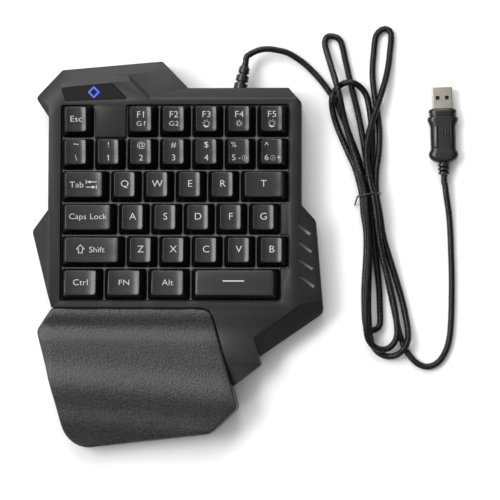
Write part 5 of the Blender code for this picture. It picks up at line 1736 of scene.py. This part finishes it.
@dataclass
class CordFittings:
    """The strain relief, the twist tie and the plug. Profiles of the plug are in mm."""

    relief_flange: Triple = (0.0037, 0.0021, 0.0050)
    relief_neck: float = 0.0038
    relief_rings: tuple[tuple[float, float, float, float], ...] = (
        (0.0002, 0.0040, 0.00405, 0.00395),
        (0.0050, 0.0089, 0.00385, 0.00370),
        (0.0099, 0.0137, 0.00330, 0.00315),
    )
    core: float = 0.0024
    ring_edge: float = 0.0003
    round_sides: int = 28
    grip_profile: tuple[Triple, ...] = (
        (7.0, 3.8, 2.6), (7.5, 5.2, 3.2), (8.2, 6.6, 3.6), (9.2, 7.7, 3.85), (10.3, 8.4, 3.95),
        (11.6, 8.75, 4.0), (12.8, 8.5, 3.95), (13.8, 7.95, 3.85), (14.6, 7.5, 3.75),
        (16.0, 7.4, 3.7), (22.0, 7.5, 3.7), (27.0, 7.4, 3.7), (28.4, 7.55, 3.75),
        (30.0, 8.15, 3.85), (31.4, 8.85, 3.95), (32.4, 9.0, 4.0), (33.4, 8.75, 4.0),
        (34.1, 8.1, 3.9), (34.35, 7.35, 3.6), (34.75, 7.35, 3.6), (34.85, 8.2, 3.95),
        (35.35, 8.2, 3.95), (35.45, 7.35, 3.6), (35.95, 7.35, 3.6), (36.05, 8.15, 3.95),
        (37.4, 8.2, 3.95), (38.1, 7.8, 3.7), (38.5, 7.2, 3.3),
    )
    grip_corner: float = 0.0024
    grip_corner_steps: int = 6
    plug_rings: tuple[Triple, ...] = ((0.0, 1.5, 3.35), (2.4, 3.9, 3.5), (4.7, 6.3, 3.6))
    rings_end: float = 8.2
    grip_bars: tuple[GripBar, ...] = (
        GripBar((-4.8, 15.2), (-4.8, 28.6), 4.1, 3.0, 1.6, 22.0),
        GripBar((-0.3, 23.6), (-0.3, 27.6), 4.4, 0.8, 0.9),
        GripBar((1.5, 20.6), (1.5, 27.6), 4.45, 0.6, 0.9),
        GripBar((3.1, 22.4), (3.1, 26.4), 4.4, 0.6, 0.9),
        GripBar((4.6, 16.6), (4.3, 31.6), 4.45, 0.7, 1.2),
        GripBar((-3.4, 8.9), (-0.7, 13.0), 4.7, 0.7, 1.2),
    )
    bar_rounding: tuple[float, float] = (0.3, 0.4)
    shell_size: Triple = (0.0120, 0.0124, 0.0045)
    shell_edge: float = 0.0007
    shell_edge_steps: int = 4
    shell_wall: float = 0.0003
    shell_back: float = 0.0020
    shell_start: float = 0.0388
    window_size: float = 0.0023
    window_corner: float = 0.0005
    window_spread: float = 0.0054
    window_back: float = 0.0062
    dimple: tuple[float, float] = (0.0013, 0.0016)
    tongue_edge: float = 0.0001

    def build(self) -> list[bpy.types.Object]:
        """Builds each fitting in its solid's place.

        Returns:
            The pieces that are on the cord.
        """
        return [
            self.relief(),
            finished_copy("twist_tie", "hank_tie", Finish.TIE_WIRE, 0),
            self.grip(),
            self.shell(),
            # The insulator is drawn black: painted shade in the shell's windows.
            finished_copy(
                "usb_plug_tongue", "plug_tongue", Finish.PLUG_INSULATOR, self.tongue_edge, 1
            ),
        ]

    def relief(self) -> bpy.types.Object:
        """Builds the strain relief: three thick rings on a thin core, and a flange inside.

        Returns:
            The piece.
        """
        back, front, wide = self.relief_flange
        profile = [(-back, wide), (-front, wide), (-front + WELD, self.relief_neck)]
        for start, end, radius, far_radius in self.relief_rings:
            if start > MM:
                profile.append((start - self.ring_edge / 3, self.core))
            profile += [
                (start, radius - self.ring_edge),
                (start + self.ring_edge, radius),
                (end - self.ring_edge, far_radius),
                (end, far_radius - self.ring_edge),
                (end + self.ring_edge / 3, self.core),
            ]
        profile.append((RELIEF_LENGTH + JOINT_GAP, self.core))
        obj = drawn_out("relief_sleeve", [(y, r, r) for y, r in profile], 0, self.round_sides)
        place = Matrix.Translation(RELIEF_PLACE) @ Matrix.Rotation(RELIEF_TURN, 4, "Z")
        obj.data.transform(place)
        stand_in(obj, "strain_relief", Finish.PLUG_PVC)
        return obj

    def plug_place(self) -> Matrix:
        """Gives the matrix from the plug's own frame, +Y the way it points."""
        return Matrix.Translation(PLUG_PLACE) @ Matrix.Rotation(PLUG_TURN, 4, "Z")

    def grip(self) -> bpy.types.Object:
        """Builds the plug's grip: two bulges, two collars, three tail rings, raised bars.

        Returns:
            The piece.
        """
        profile = [tuple(size * MM for size in station) for station in self.grip_profile]
        body = drawn_out("plug_grip", profile, self.grip_corner, self.grip_corner_steps)
        rings = [(0.0, self.core)]
        for start, end, radius in self.plug_rings:
            low, high, wide = start * MM, end * MM, radius * MM
            rings += [
                (low + WELD, wide - self.ring_edge),
                (low + self.ring_edge, wide),
                (high - self.ring_edge, wide),
                (high, wide - self.ring_edge),
                (high + WELD, self.core),
            ]
        rings.append((self.rings_end * MM, self.core))
        tail = drawn_out("tail_rings", [(y, r, r) for y, r in rings], 0, self.round_sides)
        obj = join_all([body, tail, *[self.bar(bar) for bar in self.grip_bars]])
        obj.name = "plug_grip"
        obj.data.transform(self.plug_place())
        stand_in(obj, "usb_plug_overmould", Finish.PLUG_PVC)
        return obj

    def bar(self, bar: GripBar) -> bpy.types.Object:
        """Makes one raised bar in the plug's own frame.

        Args:
            bar: its place and size.

        Returns:
            A mesh object.
        """
        start, end = Vector(bar.start) * MM, Vector(bar.end) * MM
        ahead, half = end - start, bar.width * MM / 2
        of_width, of_depth = self.bar_rounding
        edge = min(of_width * bar.width, of_depth * bar.depth) * MM
        obj = solid_box((-half, 0, -bar.depth * MM), (half, ahead.length, 0), edge, 3)
        turn = Matrix.Rotation(math.atan2(-ahead.x, ahead.y), 4, "Z")
        roll = Matrix.Rotation(-math.radians(bar.roll), 4, "Y")
        obj.data.transform(Matrix.Translation((*start, bar.top * MM)) @ turn @ roll)
        return obj

    def shell(self) -> bpy.types.Object:
        """Builds the plug's steel shell: a rounded tube with two windows and a dimple.

        Returns:
            The piece.
        """
        wide, deep, thick = self.shell_size
        obj = solid_box((-wide / 2, 0, -thick / 2), (wide / 2, deep, thick / 2))
        obj.name = "plug_shell"
        with edit_mode(obj):
            pick(obj, "EDGE", runs_along(1, deep / 2))
            bpy.ops.mesh.bevel(offset=self.shell_edge, segments=self.shell_edge_steps, profile=0.5)
            pick(obj, "FACE", lambda face: face.normal.y > FACING)
            bpy.ops.mesh.inset(thickness=self.shell_wall)
            push(0, self.shell_back - deep, 0)
        half = self.window_size / 2
        cutters = []
        for side in (-1, 1):
            x, y = side * self.window_spread / 2, deep - self.window_back
            low, high = (x - half, y - half, -thick), (x + half, y + half, thick)
            cutters.append(hole_cutter(low, high, self.window_corner))
        dent, size = self.dimple
        y = deep - self.window_back - 2 * size
        floor = thick / 2 - self.shell_wall / 2
        cutters.append(solid_box((-dent / 2, y, floor), (dent / 2, y + size, thick)))
        combine(obj, join_all(cutters), "DIFFERENCE", True)
        obj.data.transform(self.plug_place() @ Matrix.Translation((0, self.shell_start, 0)))
        stand_in(obj, "usb_plug_shell", Finish.PLUG_STEEL)
        return obj


@dataclass
class Insides:
    """The solids that keep their shape and get a real finish."""

    def build(self) -> None:
        """Dresses every solid that is still shown."""
        slots = node_slots()
        for name, obj in frame["nodes"].items():
            if not obj.hide_render:
                dress(obj, Finish[slots[name].upper()])
                LOG.info("%s: dressed", name)


@dataclass(frozen=True)
class SoftBox:
    """One soft box: its way from the keypad in degrees, its size and its power."""

    name: str
    lean: float
    turn: float
    width: float
    height: float
    power: float
    distance: float = 3.0


@dataclass
class Studio:
    """The paper floor, the soft lights and the camera."""

    floor_size: float = 8.0
    zenith: float = 1.05
    horizon: float = 0.03
    sky_lean: Triple = (-0.42, 0.2, 0.88)
    boxes: tuple[SoftBox, ...] = (
        SoftBox("soft_box_left", 38.0, 162.0, 1.9, 1.0, 53.0),
        SoftBox("soft_box_back", 44.0, 98.0, 1.7, 0.9, 26.0),
        SoftBox("soft_box_low_back", 74.0, 92.0, 2.4, 0.9, 30.0),
    )
    nearest: float = 0.05
    farthest: float = 20.0

    def build(self) -> None:
        """Builds the floor, lights and camera."""
        self.floor()
        self.sky()
        for box in self.boxes:
            self.hang(box)
        self.camera()

    def floor(self) -> None:
        """Lays the paper at the table's height."""
        deselect_all()
        bpy.ops.mesh.primitive_plane_add(size=self.floor_size, location=(0, 0, 0))
        paper = bpy.context.object
        paper.name = "studio_paper"
        paper.data.materials.append(StudioPaper("studio_white_paper", "F4F4F4").material())

    def sky(self) -> None:
        """Fills softly from above and the left."""
        world = bpy.data.worlds.new("studio")
        bpy.context.scene.world = world
        world.use_nodes = True
        tree = world.node_tree
        way = add_node(tree, "ShaderNodeTexCoord").outputs["Generated"]
        height = {"operation": "DOT_PRODUCT", 1: self.sky_lean}
        rise = add_node(tree, "ShaderNodeVectorMath", height, {0: way}).outputs["Value"]
        fill = {"To Min": self.horizon, "To Max": self.zenith}
        strength = add_node(tree, "ShaderNodeMapRange", fill, {"Value": rise}).outputs["Result"]
        tree.links.new(strength, tree.nodes["Background"].inputs["Strength"])
        tree.nodes["Background"].inputs["Color"].default_value = (1, 1, 1, 1)

    def hang(self, box: SoftBox) -> None:
        """Hangs one soft box, its long side level and its face to the keypad.

        Args:
            box: which one.
        """
        lean, turn = math.radians(box.lean), math.radians(box.turn)
        way_out = Vector(
            (math.sin(lean) * math.cos(turn), math.sin(lean) * math.sin(turn), math.cos(lean))
        )
        light = bpy.data.lights.new(box.name, "AREA")
        light.shape = "RECTANGLE"
        light.size = box.width
        light.size_y = box.height
        light.energy = box.power
        obj = bpy.data.objects.new(box.name, light)
        bpy.context.scene.collection.objects.link(obj)
        obj.location = way_out * box.distance
        obj.rotation_euler = (-way_out).to_track_quat("-Z", "Y").to_euler()

    def camera(self) -> None:
        """Sets the camera that the photograph's measures give."""
        camera = bpy.data.cameras.new("photo_camera")
        camera.sensor_width = SENSOR_MM
        camera.lens = FOCAL_PIXELS / PHOTO_PIXELS * SENSOR_MM
        camera.clip_start = self.nearest
        camera.clip_end = self.farthest
        obj = bpy.data.objects.new("photo_camera", camera)
        bpy.context.scene.collection.objects.link(obj)
        turn = Vector(CAMERA_TURN)
        away = Matrix.Rotation(turn.length, 4, turn.normalized())
        obj.matrix_world = Matrix.Translation(CAMERA_PLACE) @ away.transposed()
        bpy.context.scene.camera = obj
        bpy.context.scene.view_settings.view_transform = "Standard"


def main() -> None:
    """Builds the studio and every piece of the keypad in order."""
    logging.basicConfig(level=logging.INFO, format="%(message)s")
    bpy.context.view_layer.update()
    Studio().build()
    cord = Cord()
    cord_piece = cord.build()
    cord.declare(CordFittings().build())
    Shell().build()
    KeyField().build()
    Insides().build()


if __name__ == "__main__":
    main()
